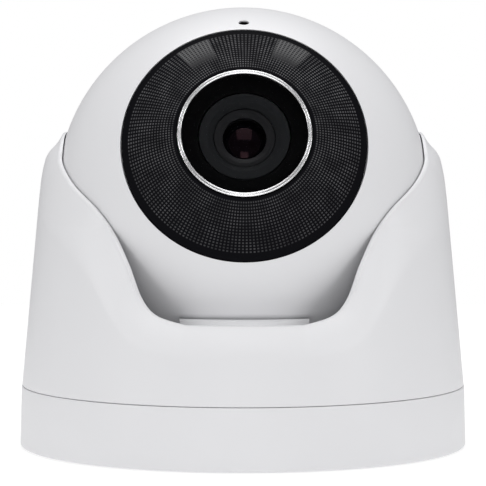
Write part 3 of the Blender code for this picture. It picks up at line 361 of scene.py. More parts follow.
class Recipe:
    """One material: a Principled shader and the nodes that feed it."""

    def __init__(self, name: str, **constants: Any) -> None:
        """Start a material.

        Args:
            name: The material's name.
            **constants: Shader sockets that are the same all over, with spaces as underscores.
        """
        self.material = bpy.data.materials.new(name)
        self.material.use_nodes = True
        self.tree = self.material.node_tree
        self.shader = self.tree.nodes["Principled BSDF"]
        for socket, value in constants.items():
            self.feed(self.shader.inputs[socket.replace("_", " ")], value)

    def feed(self, socket: bpy.types.NodeSocket, value: Any) -> None:
        """Link a wire to a socket, or set its own value."""
        if isinstance(value, Wire):
            self.tree.links.new(value.socket, socket)
        elif socket.type == "RGBA":
            socket.default_value = (*value, 1.0)
        else:
            socket.default_value = value

    def node(
        self, kind: str, settings: Mapping[str, Any] | None = None, inputs: Mapping[Any, Any] | None = None
    ) -> bpy.types.Node:
        """Add a node.

        Args:
            kind: The node's type.
            settings: Its properties, which are set first.
            inputs: The values or wires of its sockets, by name or number.

        Returns:
            The node.
        """
        made = self.tree.nodes.new(kind)
        for name, value in (settings or {}).items():
            setattr(made, name, value)
        for key, value in (inputs or {}).items():
            self.feed(made.inputs[key], value)
        return made

    def object_place(self, stretch: Sequence[float] = (1.0, 1.0, 1.0)) -> Wire:
        """The place on the object, stretched along its axes."""
        place = Wire(self, self.node("ShaderNodeTexCoord").outputs["Object"])
        mapping = self.node("ShaderNodeMapping", inputs={"Vector": place, "Scale": stretch})
        return Wire(self, mapping.outputs[0])

    def noise(self, place: Wire, scale: float, detail: float = 2.0) -> Wire:
        """A soft noise from 0 to 1 at a place."""
        node = self.node("ShaderNodeTexNoise", inputs={"Vector": place, "Scale": scale, "Detail": detail})
        return Wire(self, node.outputs[0])

    def cells(self, place: Wire, scale: float) -> Wire:
        """The distance to the nearest edge between cells."""
        node = self.node(
            "ShaderNodeTexVoronoi", {"feature": "DISTANCE_TO_EDGE"}, {"Vector": place, "Scale": scale}
        )
        return Wire(self, node.outputs["Distance"])

    def mix(self, share: Wire, first: "Wire | Colour", second: "Wire | Colour") -> Wire:
        """A colour that goes from the first to the second."""
        node = self.node("ShaderNodeMix", {"data_type": "RGBA"}, {0: share, 6: first, 7: second})
        return Wire(self, node.outputs[2])

    def paint(self, **sockets: Wire) -> "Recipe":
        """Feed shader sockets with what changes over the surface."""
        for socket, value in sockets.items():
            self.feed(self.shader.inputs[socket.replace("_", " ")], value)
        return self

    def relief(self, height: Wire, depth: float, strength: float = 1.0) -> "Recipe":
        """Bump the surface by a height, with its depth in metres."""
        bump = self.node("ShaderNodeBump", inputs={"Height": height, "Distance": depth, "Strength": strength})
        return self.paint(Normal=Wire(self, bump.outputs["Normal"]))


# Finishes ------------------------------------------------------------------


@dataclass(frozen=True)
class Moulded:
    """Moulded plastic or rubber: a fine spark grain, with slow drifts in tone and gloss."""

    colour: Colour
    roughness: float = 0.45
    specular: float = 0.5
    drift: float = 0.03
    gloss_drift: float = 0.08
    grain: float = 3200.0
    grain_depth: float = 0.000012
    drift_scale: float = 45.0

    def make(self, name: str) -> bpy.types.Material:
        """The material."""
        recipe = Recipe(name, Specular_IOR_Level=self.specular)
        place = recipe.object_place()
        slow = recipe.noise(place, self.drift_scale)
        grain = recipe.noise(place, self.grain)
        deep = tuple(part * (1.0 - self.drift) for part in self.colour)
        recipe.paint(
            Base_Color=recipe.mix(slow.rise(0.3, 0.7), self.colour, deep),
            Roughness=slow * self.gloss_drift + (self.roughness - self.gloss_drift / 2),
        )
        return recipe.relief(grain, self.grain_depth, 0.35).material


@dataclass(frozen=True)
class Metal:
    """Bare or plated metal with fine tool marks."""

    colour: Colour
    roughness: float = 0.3
    metallic: float = 1.0
    stretch: Sequence[float] = (1.0, 1.0, 8.0)
    marks: float = 900.0
    mark_depth: float = 0.000006
    dull: float = 0.85

    def make(self, name: str) -> bpy.types.Material:
        """The material."""
        recipe = Recipe(name, Metallic=self.metallic)
        marks = recipe.noise(recipe.object_place(self.stretch), self.marks, 4.0)
        worn = recipe.noise(recipe.object_place(), 160.0)
        deep = tuple(part * self.dull for part in self.colour)
        recipe.paint(
            Base_Color=recipe.mix(worn.rise(0.35, 0.75), self.colour, deep),
            Roughness=marks * 0.12 + worn * 0.06 + (self.roughness - 0.09),
        )
        return recipe.relief(marks, self.mark_depth, 0.4).material


@dataclass(frozen=True)
class ClearGlass:
    """A thin coated pane, which shows little of itself but a tint and faint smears."""

    colour: Colour
    body: float = 0.03
    smear: float = 0.02
    roughness: float = 0.08

    def make(self, name: str) -> bpy.types.Material:
        """The material."""
        recipe = Recipe(name, Base_Color=self.colour, Specular_IOR_Level=0.2)
        smear = recipe.noise(recipe.object_place(), 90.0)
        return recipe.paint(
            Alpha=smear.rise(0.4, 0.8) * self.smear + self.body,
            Roughness=smear * 0.1 + self.roughness,
        ).material


@dataclass(frozen=True)
class CoatedLens:
    """Dark lens glass, whose coating tints what it reflects."""

    colour: Colour = (0.0012, 0.001, 0.0018)
    tint: Colour = (1.0, 0.5, 0.6)
    specular: float = 0.07

    def make(self, name: str) -> bpy.types.Material:
        """The material."""
        recipe = Recipe(
            name,
            IOR=1.7,
            Specular_Tint=self.tint,
            Specular_IOR_Level=self.specular,
        )
        depth = recipe.noise(recipe.object_place(), 400.0)
        deep = tuple(part * 0.5 for part in self.colour)
        return recipe.paint(
            Base_Color=recipe.mix(depth.rise(0.3, 0.7), self.colour, deep),
            Roughness=depth * 0.01 + 0.015,
        ).material


@dataclass(frozen=True)
class CircuitBoard:
    """Solder mask over copper tracks."""

    mask: Colour = (0.012, 0.09, 0.04)
    track: Colour = (0.05, 0.20, 0.08)
    cells: float = 420.0

    def make(self, name: str) -> bpy.types.Material:
        """The material."""
        recipe = Recipe(name, Specular_IOR_Level=0.6)
        edge = recipe.cells(recipe.object_place(), self.cells)
        track = 1.0 - edge.rise(0.06, 0.1)
        recipe.paint(Base_Color=recipe.mix(track, self.mask, self.track), Roughness=0.42 - track * 0.1)
        return recipe.relief(track, 0.00003, 0.6).material


@dataclass(frozen=True)
class Diffuser:
    """Smoked plastic that is moulded in small lit squares, brighter in front of the two lamps.

    The squares' grey is partly their own lighter tone and partly a painted highlight for the glints on their
    raised tops. The squares follow the piece's own UV map, whose numbers count spokes and rings of squares.
    """

    rings: int = 17
    spokes: int = 188
    lamps: tuple[float, float] = (64.0, 117.0)
    lamp_half_angle: float = 8.6
    body: Colour = (0.0050, 0.0050, 0.0062)
    # The squares' grey: partly their own lighter tone, partly a painted highlight for the glints on their
    # tops.
    square_and_glint: Colour = (0.120, 0.120, 0.126)
    # Heights over which the painted highlight on the squares fades: painted shade lower down the face.
    painted_highlight_heights: tuple[float, float] = (0.045, 0.090)
    lit_line: Colour = (0.115, 0.115, 0.118)
    lit_square: Colour = (0.012, 0.012, 0.013)

    def make(self, name: str) -> bpy.types.Material:
        """The material."""
        # Almost no real gloss: the squares' glints are painted into the base colour below as painted
        # highlight.
        recipe = Recipe(name, Specular_IOR_Level=0.01)
        split = recipe.node("ShaderNodeSeparateXYZ", inputs={0: self._grid(recipe)})
        spoke, ring = (Wire(recipe, split.outputs[axis]) for axis in ("X", "Y"))
        away = (spoke.fraction() - 0.5).size().greater((ring.fraction() - 0.5).size())
        inside = ring.rise(-0.05, 0.05) * (1.0 - ring.rise(self.rings - 0.05, self.rings + 0.05))
        # Where the squares stand, which carry their own tone and the painted highlight.
        square_and_glint = (1.0 - away.rise(0.16, 0.33)) * inside
        place = recipe.object_place()
        height = Wire(recipe, recipe.node("ShaderNodeSeparateXYZ", inputs={0: place}).outputs["Z"])
        tone_and_painted_highlight = recipe.noise(place, 260.0).rise(0.28, 0.72) * 0.6 + 0.4
        # Painted highlight: the squares are painted brighter higher up the face and dimmer towards its
        # bottom.
        tone_and_painted_highlight = tone_and_painted_highlight * (height.rise(*self.painted_highlight_heights) * 0.55 + 0.45)
        lit = self._lit(spoke, ring) * inside
        plain = recipe.mix(square_and_glint * tone_and_painted_highlight, self.body, self.square_and_glint)
        window = recipe.mix(1.0 - away.rise(0.2, 0.4), self.lit_line, self.lit_square)
        recipe.paint(
            Base_Color=recipe.mix(lit, plain, window),
            Roughness=0.55 - square_and_glint * 0.2,
        )
        return recipe.relief(recipe.noise(recipe.object_place(), 2600.0), 0.000008, 0.2).material

    def _grid(self, recipe: Recipe) -> Wire:
        """The UV map as a wire."""
        return Wire(recipe, recipe.node("ShaderNodeUVMap", {"uv_map": "squares"}).outputs[0])

    def _lit(self, spoke: Wire, ring: Wire) -> Wire:
        """How strongly a lamp shows through at a spoke and ring."""
        half = self.lamp_half_angle / 360.0 * self.spokes
        left, right = (
            1.0 - (spoke - lamp / 360.0 * self.spokes).size().rise(half - 0.25, half + 0.25)
            for lamp in self.lamps
        )
        return (left + right) * ring.rise(0.25 * self.rings, 0.75 * self.rings)


DIFFUSER = Diffuser()
FINISHES = {
    "white_shell": Moulded((0.74, 0.74, 0.757), roughness=0.42, specular=0.4, drift=0.012),
    "inner_plastic": Moulded((0.60, 0.61, 0.62), roughness=0.55),
    "black_plastic": Moulded((0.0075, 0.0082, 0.0094), roughness=0.6, specular=0.08, drift=0.1),
    "smoked_diffuser": DIFFUSER,
    "bright_chrome": Metal((0.92, 0.92, 0.93), roughness=0.2, marks=1500.0, mark_depth=0.000001, dull=0.96),
    "window_glass": ClearGlass((0.004, 0.004, 0.005), body=0.012, smear=0.01),
    "lens_glass": CoatedLens(),
    "filter_glass": ClearGlass((0.05, 0.16, 0.20), body=0.6, smear=0.1),
    "anodised_black": Moulded((0.0062, 0.0064, 0.0076), roughness=0.5, specular=0.12, drift=0.1),
    "spring_steel": Metal((0.56, 0.55, 0.53), roughness=0.3),
    "zinc_steel": Metal((0.66, 0.66, 0.64), roughness=0.34),
    "aluminium": Metal((0.77, 0.78, 0.79), roughness=0.4, marks=1600.0),
    "board_green": CircuitBoard(),
    "chip_black": Moulded((0.02, 0.02, 0.021), roughness=0.6, grain=5200.0),
    "led_yellow": Moulded((0.72, 0.52, 0.08), roughness=0.3, drift=0.3, drift_scale=500.0),
    "black_rubber": Moulded((0.0013, 0.0013, 0.0015), roughness=0.8, specular=0.02, drift=0.2),
    "slip_acetal": Moulded((0.78, 0.78, 0.74), roughness=0.38),
}


class Palette:
    """The finishes, made once and laid on pieces by slot."""

    def __init__(self) -> None:
        """Make every material."""
        self.made = {slot: finish.make(slot) for slot, finish in FINISHES.items()}

    def dress(self, piece: bpy.types.Object, slot: str) -> bpy.types.Object:
        """Give a new piece its finish."""
        piece.data.materials.clear()
        piece.data.materials.append(self.made[slot])
        return piece

    def dress_frame(self, nodes: Mapping[str, bpy.types.Object]) -> None:
        """Give every node of the frame the finish that its slot names."""
        for node in nodes.values():
            for holder in node.material_slots:
                holder.material = self.made[holder.material.name.split(".")[0]]


# The object ----------------------------------------------------------------


@dataclass
class Workshop:
    """What the sub-assemblies share: the frame, its axes and the finishes."""

    frame: Mapping[str, Any]
    palette: Palette = field(default_factory=Palette)

    def joint(self, name: str) -> Mapping[str, Any]:
        """One joint of the frame."""
        return next(joint for joint in self.frame["joints"] if joint["name"] == name)

    def ball_centre(self) -> Vector:
        """Where the ball turns, in metres."""
        return Vector(self.joint("tilt")["pos_m"])

    def eyeball_axes(self) -> Matrix:
        """The eyeball's own axes: Z along the lens, Y up its face, about the ball's centre."""
        along = Vector(self.joint("roll")["axis"]).normalized()
        across = Vector((1.0, 0.0, 0.0))
        axes = Matrix((across, along.cross(across), along)).transposed().to_4x4()
        axes.translation = self.ball_centre()
        return axes

    def half_width(self, node: str) -> float:
        """Half of a node's width along X, in millimetres."""
        low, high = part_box(node)
        return (high.x - low.x) / 2 / MM

    def height(self, node: str, top: bool = True) -> float:
        """The height of a node's top or foot, in millimetres."""
        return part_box(node)[1 if top else 0].z / MM

    def finish(self, piece: bpy.types.Object, node: str, body: Body, slot: str, angle: float = 32.0) -> None:
        """Put a piece in a node's stead.

        Args:
            piece: The finished shape.
            node: The node that it replaces and is named for.
            body: The body that it rides on.
            slot: The slot of its finish.
            angle: Edges sharper than this stay sharp.
        """
        smooth(piece, angle)
        piece.name = piece.data.name = f"{node}_fine"
        self.palette.dress(piece, slot)
        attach(piece, body.value)
        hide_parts(node)
        log.info("%s: %d faces", piece.name, len(piece.data.polygons))


@dataclass
class MountingBase:
    """The tray that is screwed down, with its hub, its land and the plug of its cable notch."""

    wall: float = 2.8
    floor: float = 2.6
    foot_round: float = 0.7
    top_round: float = 0.32
    lip: float = 0.4
    bore: float = 11.0
    hub_wall: float = 3.0
    groove: float = 0.8
    land_inner: float = 30.0
    land_width: float = 3.5
    screw_circle: float = 40.0
    screw_hole: float = 2.3
    notch_half: float = 6.0
    notch_rise: float = 1.2
    notch_height: float = 7.0
    lock_azimuth: float = 60.0
    lock_hole: float = 1.8
    gap: float = 0.3

    def build(self, shop: Workshop) -> None:
        """Make the base and its plug."""
        radius = shop.half_width("mounting_base")
        top = shop.height("mounting_base")
        top_radius = radius - self.lip
        inner = top_radius - self.wall
        base = turned("mounting_base", self._outline(shop, radius, top), FINE)
        for azimuth in (90.0, 210.0, 330.0):
            foot = on_circle(self.screw_circle, azimuth, -1.0)
            combine(base, Cut.AWAY, rod(self.screw_hole, foot, foot + Vector((0.0, 0.0, self.floor + 2.0))))
        low = self.floor + self.notch_rise
        high = low + self.notch_height
        notch = block((-self.notch_half, inner - 2.0, low), (self.notch_half, radius + 1.0, high))
        lock = shop.height("pan_lock_screw") - shop.height("pan_lock_screw", False)
        lock_height = shop.height("pan_lock_screw") - lock / 2
        hole = rod(
            self.lock_hole,
            on_circle(inner - 1.0, self.lock_azimuth, lock_height),
            on_circle(radius + 1.0, self.lock_azimuth, lock_height),
        )
        combine(base, Cut.AWAY, notch, hole)
        shop.finish(base, "mounting_base", Body.BASE, "white_shell")

        plug = turned(
            "conduit_plug",
            ((inner + self.gap, low + self.gap), (top_radius - 0.1, low + self.gap),
             (top_radius - 0.1, high - self.gap), (inner + self.gap, high - self.gap)),
            FINE,
        )
        half = self.notch_half - self.gap
        combine(plug, Cut.KEEP, block((-half, inner - 3.0, 0.0), (half, radius + 1.0, top)))
        limit = {"limit_method": "ANGLE", "angle_limit": math.radians(50)}
        apply_modifier(plug, "BEVEL", width=0.3 * MM, segments=3, **limit)
        shop.finish(plug, "conduit_plug", Body.BASE, "white_shell")

    def _outline(self, shop: Workshop, radius: float, top: float) -> list[tuple[float, float]]:
        """The tray's section, from the top of its rim round its foot to the inside."""
        top_radius = radius - self.lip
        inner = top_radius - self.wall
        hub = self.bore + self.hub_wall
        hub_top = top - 0.4
        groove_top = shop.height("pan_retaining_ring") + self.gap
        groove_low = shop.height("pan_retaining_ring", False) - self.gap
        land = shop.height("pan_slip_ring", False) - self.gap
        land_outer = self.land_inner + self.land_width
        return eased(
            (
                (top_radius, top, self.top_round),
                (radius, 0.0, self.foot_round),
                (self.bore, 0.0, 0.5),
                (self.bore, hub_top, 0.3),
                (hub, hub_top, 0.3),
                (hub, groove_top),
                (hub - self.groove, groove_top),
                (hub - self.groove, groove_low),
                (hub, groove_low),
                (hub, self.floor, 0.6),
                (self.land_inner, self.floor, 0.5),
                (self.land_inner, land, 0.2),
                (land_outer, land, 0.2),
                (land_outer, self.floor, 0.5),
                (inner, self.floor, 0.6),
                (inner, top, 0.2),
            )
        )


@dataclass
class BodyCover:
    """The turret's cover: a cone under a 45 degree roof, cut open in front of the ball.

    The wall round the cutout leans in towards its edge. The shell is laid out as a grid whose rows bend with
    that edge, because turning and cutting leave no rows that the lean could follow. A column is a section at
    one azimuth: up the outside from the foot to the edge, and down the inside again.
    """

    wall: float = 2.2
    seam: float = 0.12
    taper: float = 0.0941
    shoulder_round: float = 5.0
    rim_rise: float = 15.21
    rim_land: float = 0.35
    rim_clearance: float = 0.5
    lean_low: float = 4.0
    lean_high: float = 4.4
    lean_width_low: float = 7.5
    lean_width_high: float = 13.0
    lean_rise: float = 24.0
    lean_power: float = 1.8
    least_wall: float = 0.8
    ball_clearance: float = 0.3
    edge_round: float = 0.5
    rim_share: float = 0.2
    inner_lip_share: float = 0.25
    foot_share: float = 0.5
    edge_band: float = 14.0
    front_columns: int = 168
    back_columns: int = 60
    low_rows: int = 18
    edge_rows: int = 26
    cutout: Outline = (
        (0.300, -0.627),
        (0.448, -0.585),
        (0.527, -0.500),
        (0.592, -0.338),
        (0.672, -0.179),
        (0.765, -0.059),
        (0.896, 0.061),
        (0.968, 0.164),
        (0.975, 0.236),
        (0.965, 0.400),
    )

    def build(self, shop: Workshop) -> None:
        """Make the cover."""
        self._lay_out(shop)
        azimuths = self._azimuths()
        edge = [self._edge_run(azimuth) for azimuth in azimuths]
        tree = self._edge_tree(azimuths, edge)
        columns = [self._column(azimuth, run, tree) for azimuth, run in zip(azimuths, edge)]
        rows = len(columns[0])
        count = len(columns)
        faces = [
            (
                column * rows + row,
                (column + 1) % count * rows + row,
                (column + 1) % count * rows + (row + 1) % rows,
                column * rows + (row + 1) % rows,
            )
            for column in range(count)
            for row in range(rows)
        ]
        mesh = bpy.data.meshes.new("body_cover")
        mesh.from_pydata([point * MM for column in columns for point in column], [], faces)
        cover = bpy.data.objects.new("body_cover", mesh)
        bpy.context.scene.collection.objects.link(cover)
        self._weigh_edges(mesh, rows, [run < self.full_run for run in edge])
        limit = {"limit_method": "WEIGHT", "use_clamp_overlap": False}
        apply_modifier(cover, "BEVEL", width=self.edge_round * MM, segments=5, **limit)
        shop.finish(cover, "body_cover", Body.TURRET, "white_shell", 50.0)

    def _lay_out(self, shop: Workshop) -> None:
        """Work out the outer line, the inner line and the cutout from the frame."""
        centre = shop.ball_centre().z / MM
        ball = shop.half_width("ball_front_shell")
        foot = shop.height("mounting_base") + self.seam
        foot_radius = shop.half_width("body_cover")
        axis_radius = foot_radius - self.taper * (centre - foot)
        rim_height = centre + self.rim_rise
        rim_inner = sphere_height(ball, self.rim_rise) + self.rim_clearance
        rim = (rim_inner + self.rim_land, rim_height)
        drop = (axis_radius - self.taper * self.rim_rise - rim[0]) / (1.0 - self.taper)
        corner = (rim[0] + drop, rim_height - drop, self.shoulder_round)
        line = eased(((0.0, foot), (foot_radius, foot), corner, rim), 16)[1:]
        self.outer_radius, self.outer_height = np.array(line).T
        steps = np.hypot(np.diff(self.outer_radius), np.diff(self.outer_height))
        self.outer_run = np.concatenate(([0.0], np.cumsum(steps)))
        self.full_run = float(self.outer_run[-1])
        inner_top = centre + 0.165 * ball
        follow = [
            (sphere_height(ball + clear, rise * ball), centre + rise * ball)
            for rise, clear in ((0.22, 1.5), (0.265, 1.1), (0.31, 0.75))
        ]
        inner = [
            (foot_radius - self.wall, foot),
            (axis_radius - self.taper * (inner_top - centre) - self.wall, inner_top),
            *follow,
            (rim_inner, rim_height - 0.1),
        ]
        self.inner_radius, self.inner_height = np.array(inner).T
        self.ball, self.centre = ball, centre
        points = [Vector((x * ball, centre + z * ball)) for x, z in self.cutout]
        self.cut_across, self.cut_height = np.array(list(self._smooth_line(points))).T
        self.floor_run = float(np.interp(points[0].y, self.outer_height, self.outer_run))

    @staticmethod
    def _smooth_line(points: Sequence[Vector], steps: int = 12) -> Iterable[Vector]:
        """A Catmull-Rom curve through points."""
        padded = [points[0], *points, points[-1]]
        for index in range(len(points) - 1):
            p0, p1, p2, p3 = padded[index : index + 4]
            for step in range(steps):
                t = step / steps
                bend = (2 * p0 - 5 * p1 + 4 * p2 - p3) * t**2 + (3 * p1 - p0 - 3 * p2 + p3) * t**3
                yield 0.5 * (2 * p1 + (p2 - p0) * t + bend)
        yield points[-1]

    def _outer(self, run: Any) -> tuple[Any, Any]:
        """The radius and height at a distance up the outer line."""
        radius = np.interp(run, self.outer_run, self.outer_radius)
        return radius, np.interp(run, self.outer_run, self.outer_height)

    def _ball_radius(self, height: Any) -> Any:
        """The ball's radius at a height, or nothing below it."""
        return np.sqrt(np.maximum(self.ball**2 - (height - self.centre) ** 2, 0.0))

    def _lean_at(self, radius: Any, height: Any, away: Any = 0.0) -> Any:
        """How far the outside leans in, at a distance from the cutout's edge."""
        share = np.clip((height - self.cut_height[0]) / self.lean_rise, 0.0, 1.0)
        share = share * share * (3.0 - 2.0 * share)
        depth = self.lean_low + (self.lean_high - self.lean_low) * share
        width = self.lean_width_low + (self.lean_width_high - self.lean_width_low) * share
        room = radius - self._ball_radius(height) - self.ball_clearance - self.least_wall
        depth = np.clip(room, 0.0, depth)
        return depth * np.maximum(0.0, 1.0 - away / width) ** self.lean_power

    def _edge_run(self, azimuth: float) -> float:
        """How far up the outer line the wall goes, at an azimuth from the front in degrees."""
        if abs(azimuth) >= 90.0:
            return self.full_run
        runs = np.linspace(self.floor_run, self.full_run, 600)
        radius, height = self._outer(runs)
        radius = radius - self._lean_at(radius, height)
        across = radius * abs(math.sin(math.radians(azimuth)))
        open_by = np.interp(height, self.cut_height, self.cut_across) - across
        if open_by.max() <= 0.0:
            return self.full_run
        first = int(np.argmax(open_by > 0.0))
        if first == 0:
            return self.floor_run
        share = -open_by[first - 1] / (open_by[first] - open_by[first - 1])
        return float(runs[first - 1] + share * (runs[first] - runs[first - 1]))

    def _azimuths(self) -> list[float]:
        """Columns from the front right round, close together where the cutout is."""
        low, high = 45.0, 90.0
        for _ in range(40):
            middle = (low + high) / 2
            low, high = (middle, high) if self._edge_run(middle) < self.full_run else (low, middle)
        half = [*np.linspace(0.0, low, self.front_columns), *np.linspace(low, 180.0, self.back_columns)[1:]]
        return [*half, *(-azimuth for azimuth in reversed(half[1:-1]))]

    @staticmethod
    def _point(azimuth: float, radius: float, height: float) -> Vector:
        """A place at an azimuth from the front."""
        angle = math.radians(azimuth)
        return Vector((radius * math.sin(angle), -radius * math.cos(angle), height))

    def _edge_tree(self, azimuths: Sequence[float], edge: Sequence[float]) -> KDTree:
        """The cutout's edge, to measure distances from."""
        cut = [(azimuth, run) for azimuth, run in zip(azimuths, edge) if run < self.full_run]
        points = [self._point(azimuth, *self._outer(run)) for azimuth, run in cut]
        tree = KDTree(len(points))
        for index, point in enumerate(points):
            tree.insert(point, index)
        tree.balance()
        return tree

    def _column(self, azimuth: float, edge: float, tree: KDTree) -> list[Vector]:
        """One section of the shell."""
        bend = max(edge - self.edge_band, 0.2 * edge)
        runs = [*np.linspace(0.0, bend, self.low_rows)[:-1], *np.linspace(bend, edge, self.edge_rows)]
        outside, inside = [], []
        for run in runs:
            radius, height = (float(value) for value in self._outer(run))
            inner = float(np.interp(height, self.inner_height, self.inner_radius))
            away = tree.find(self._point(azimuth, radius, height))[2]
            radius -= float(self._lean_at(radius, height, away))
            clear = float(self._ball_radius(height)) + self.ball_clearance
            inner = max(min(inner, radius - self.least_wall), clear if height > self.cut_height[0] else 0.0)
            outside.append(self._point(azimuth, radius, height))
            inside.append(self._point(azimuth, inner, min(height, float(self.inner_height[-1]))))
        return [*outside, *reversed(inside)]

    def _weigh_edges(self, mesh: bpy.types.Mesh, rows: int, cut: Sequence[bool]) -> None:
        """Mark how far each edge of the lip and the foot is rounded."""
        weights = mesh.attributes.new("bevel_weight_edge", "FLOAT", "EDGE")
        lip, foot = {rows // 2 - 1, rows // 2}, {0, rows - 1}
        for edge in mesh.edges:
            (first, row), (second, other) = (divmod(vertex, rows) for vertex in edge.vertices)
            if row != other or row not in lip | foot:
                continue
            outside = 1.0 if row == rows // 2 - 1 else self.inner_lip_share
            lip_share = outside if cut[first] and cut[second] else self.rim_share
            weights.data[edge.index].value = lip_share if row in lip else self.foot_share


@dataclass
class BallCollar:
    """The ring on the chassis, whose front tab follows the ball up to the cutout's floor."""

    inner: float = 36.0
    wall: float = 1.7
    rise: float = 15.0
    tab_half_angle: float = 24.0
    tab_lean: float = 4.0
    tab_gap: float = 0.35
    gap: float = 0.3

    def build(self, shop: Workshop) -> None:
        """Make the collar."""
        outer = self.inner + self.wall
        low = shop.height("ball_collar", False)
        top = shop.height("ball_collar")
        wall_top = low + self.rise
        centre = shop.ball_centre().z / MM
        follow = shop.half_width("ball_front_shell") + self.tab_gap
        face = [
            (sphere_height(follow, centre - height), height)
            for height in np.linspace(top, wall_top + 1.5, 8)
        ]
        foot = ((self.inner, low, 0.2), (outer, low, 0.2))
        collar = turned("ball_collar", eased((*foot, (outer, wall_top, 0.3), (self.inner, wall_top, 0.3))))
        tab = turned(
            "tab",
            [
                (outer + 0.6, top - 0.4),
                (outer, wall_top - 2.0),
                (self.inner - 1.0, wall_top - 2.0),
                *reversed([(float(radius), float(height)) for radius, height in face]),
                (outer + 0.3, top),
            ],
        )
        combine(tab, Cut.KEEP, self._wedge(outer, low, top + 1.0))
        combine(collar, Cut.ADD, tab)
        combine(collar, Cut.AWAY, block((-5.0, 20.0, low + 3.0), (5.0, outer + 3.0, wall_top + 1.0)))
        shop.finish(collar, "ball_collar", Body.TURRET, "white_shell")

    def _wedge(self, outer: float, low: float, top: float) -> bpy.types.Object:
        """What the tab keeps: a block in front whose sides lean outwards."""
        foot = outer * math.sin(math.radians(self.tab_half_angle - self.tab_lean))
        head = outer * math.sin(math.radians(self.tab_half_angle))
        wedge = block((-head, -60.0, low), (head, -20.0, top))
        for corner in wedge.data.vertices:
            if corner.co.z < (low + top) / 2 * MM:
                corner.co.x *= foot / head
        return wedge


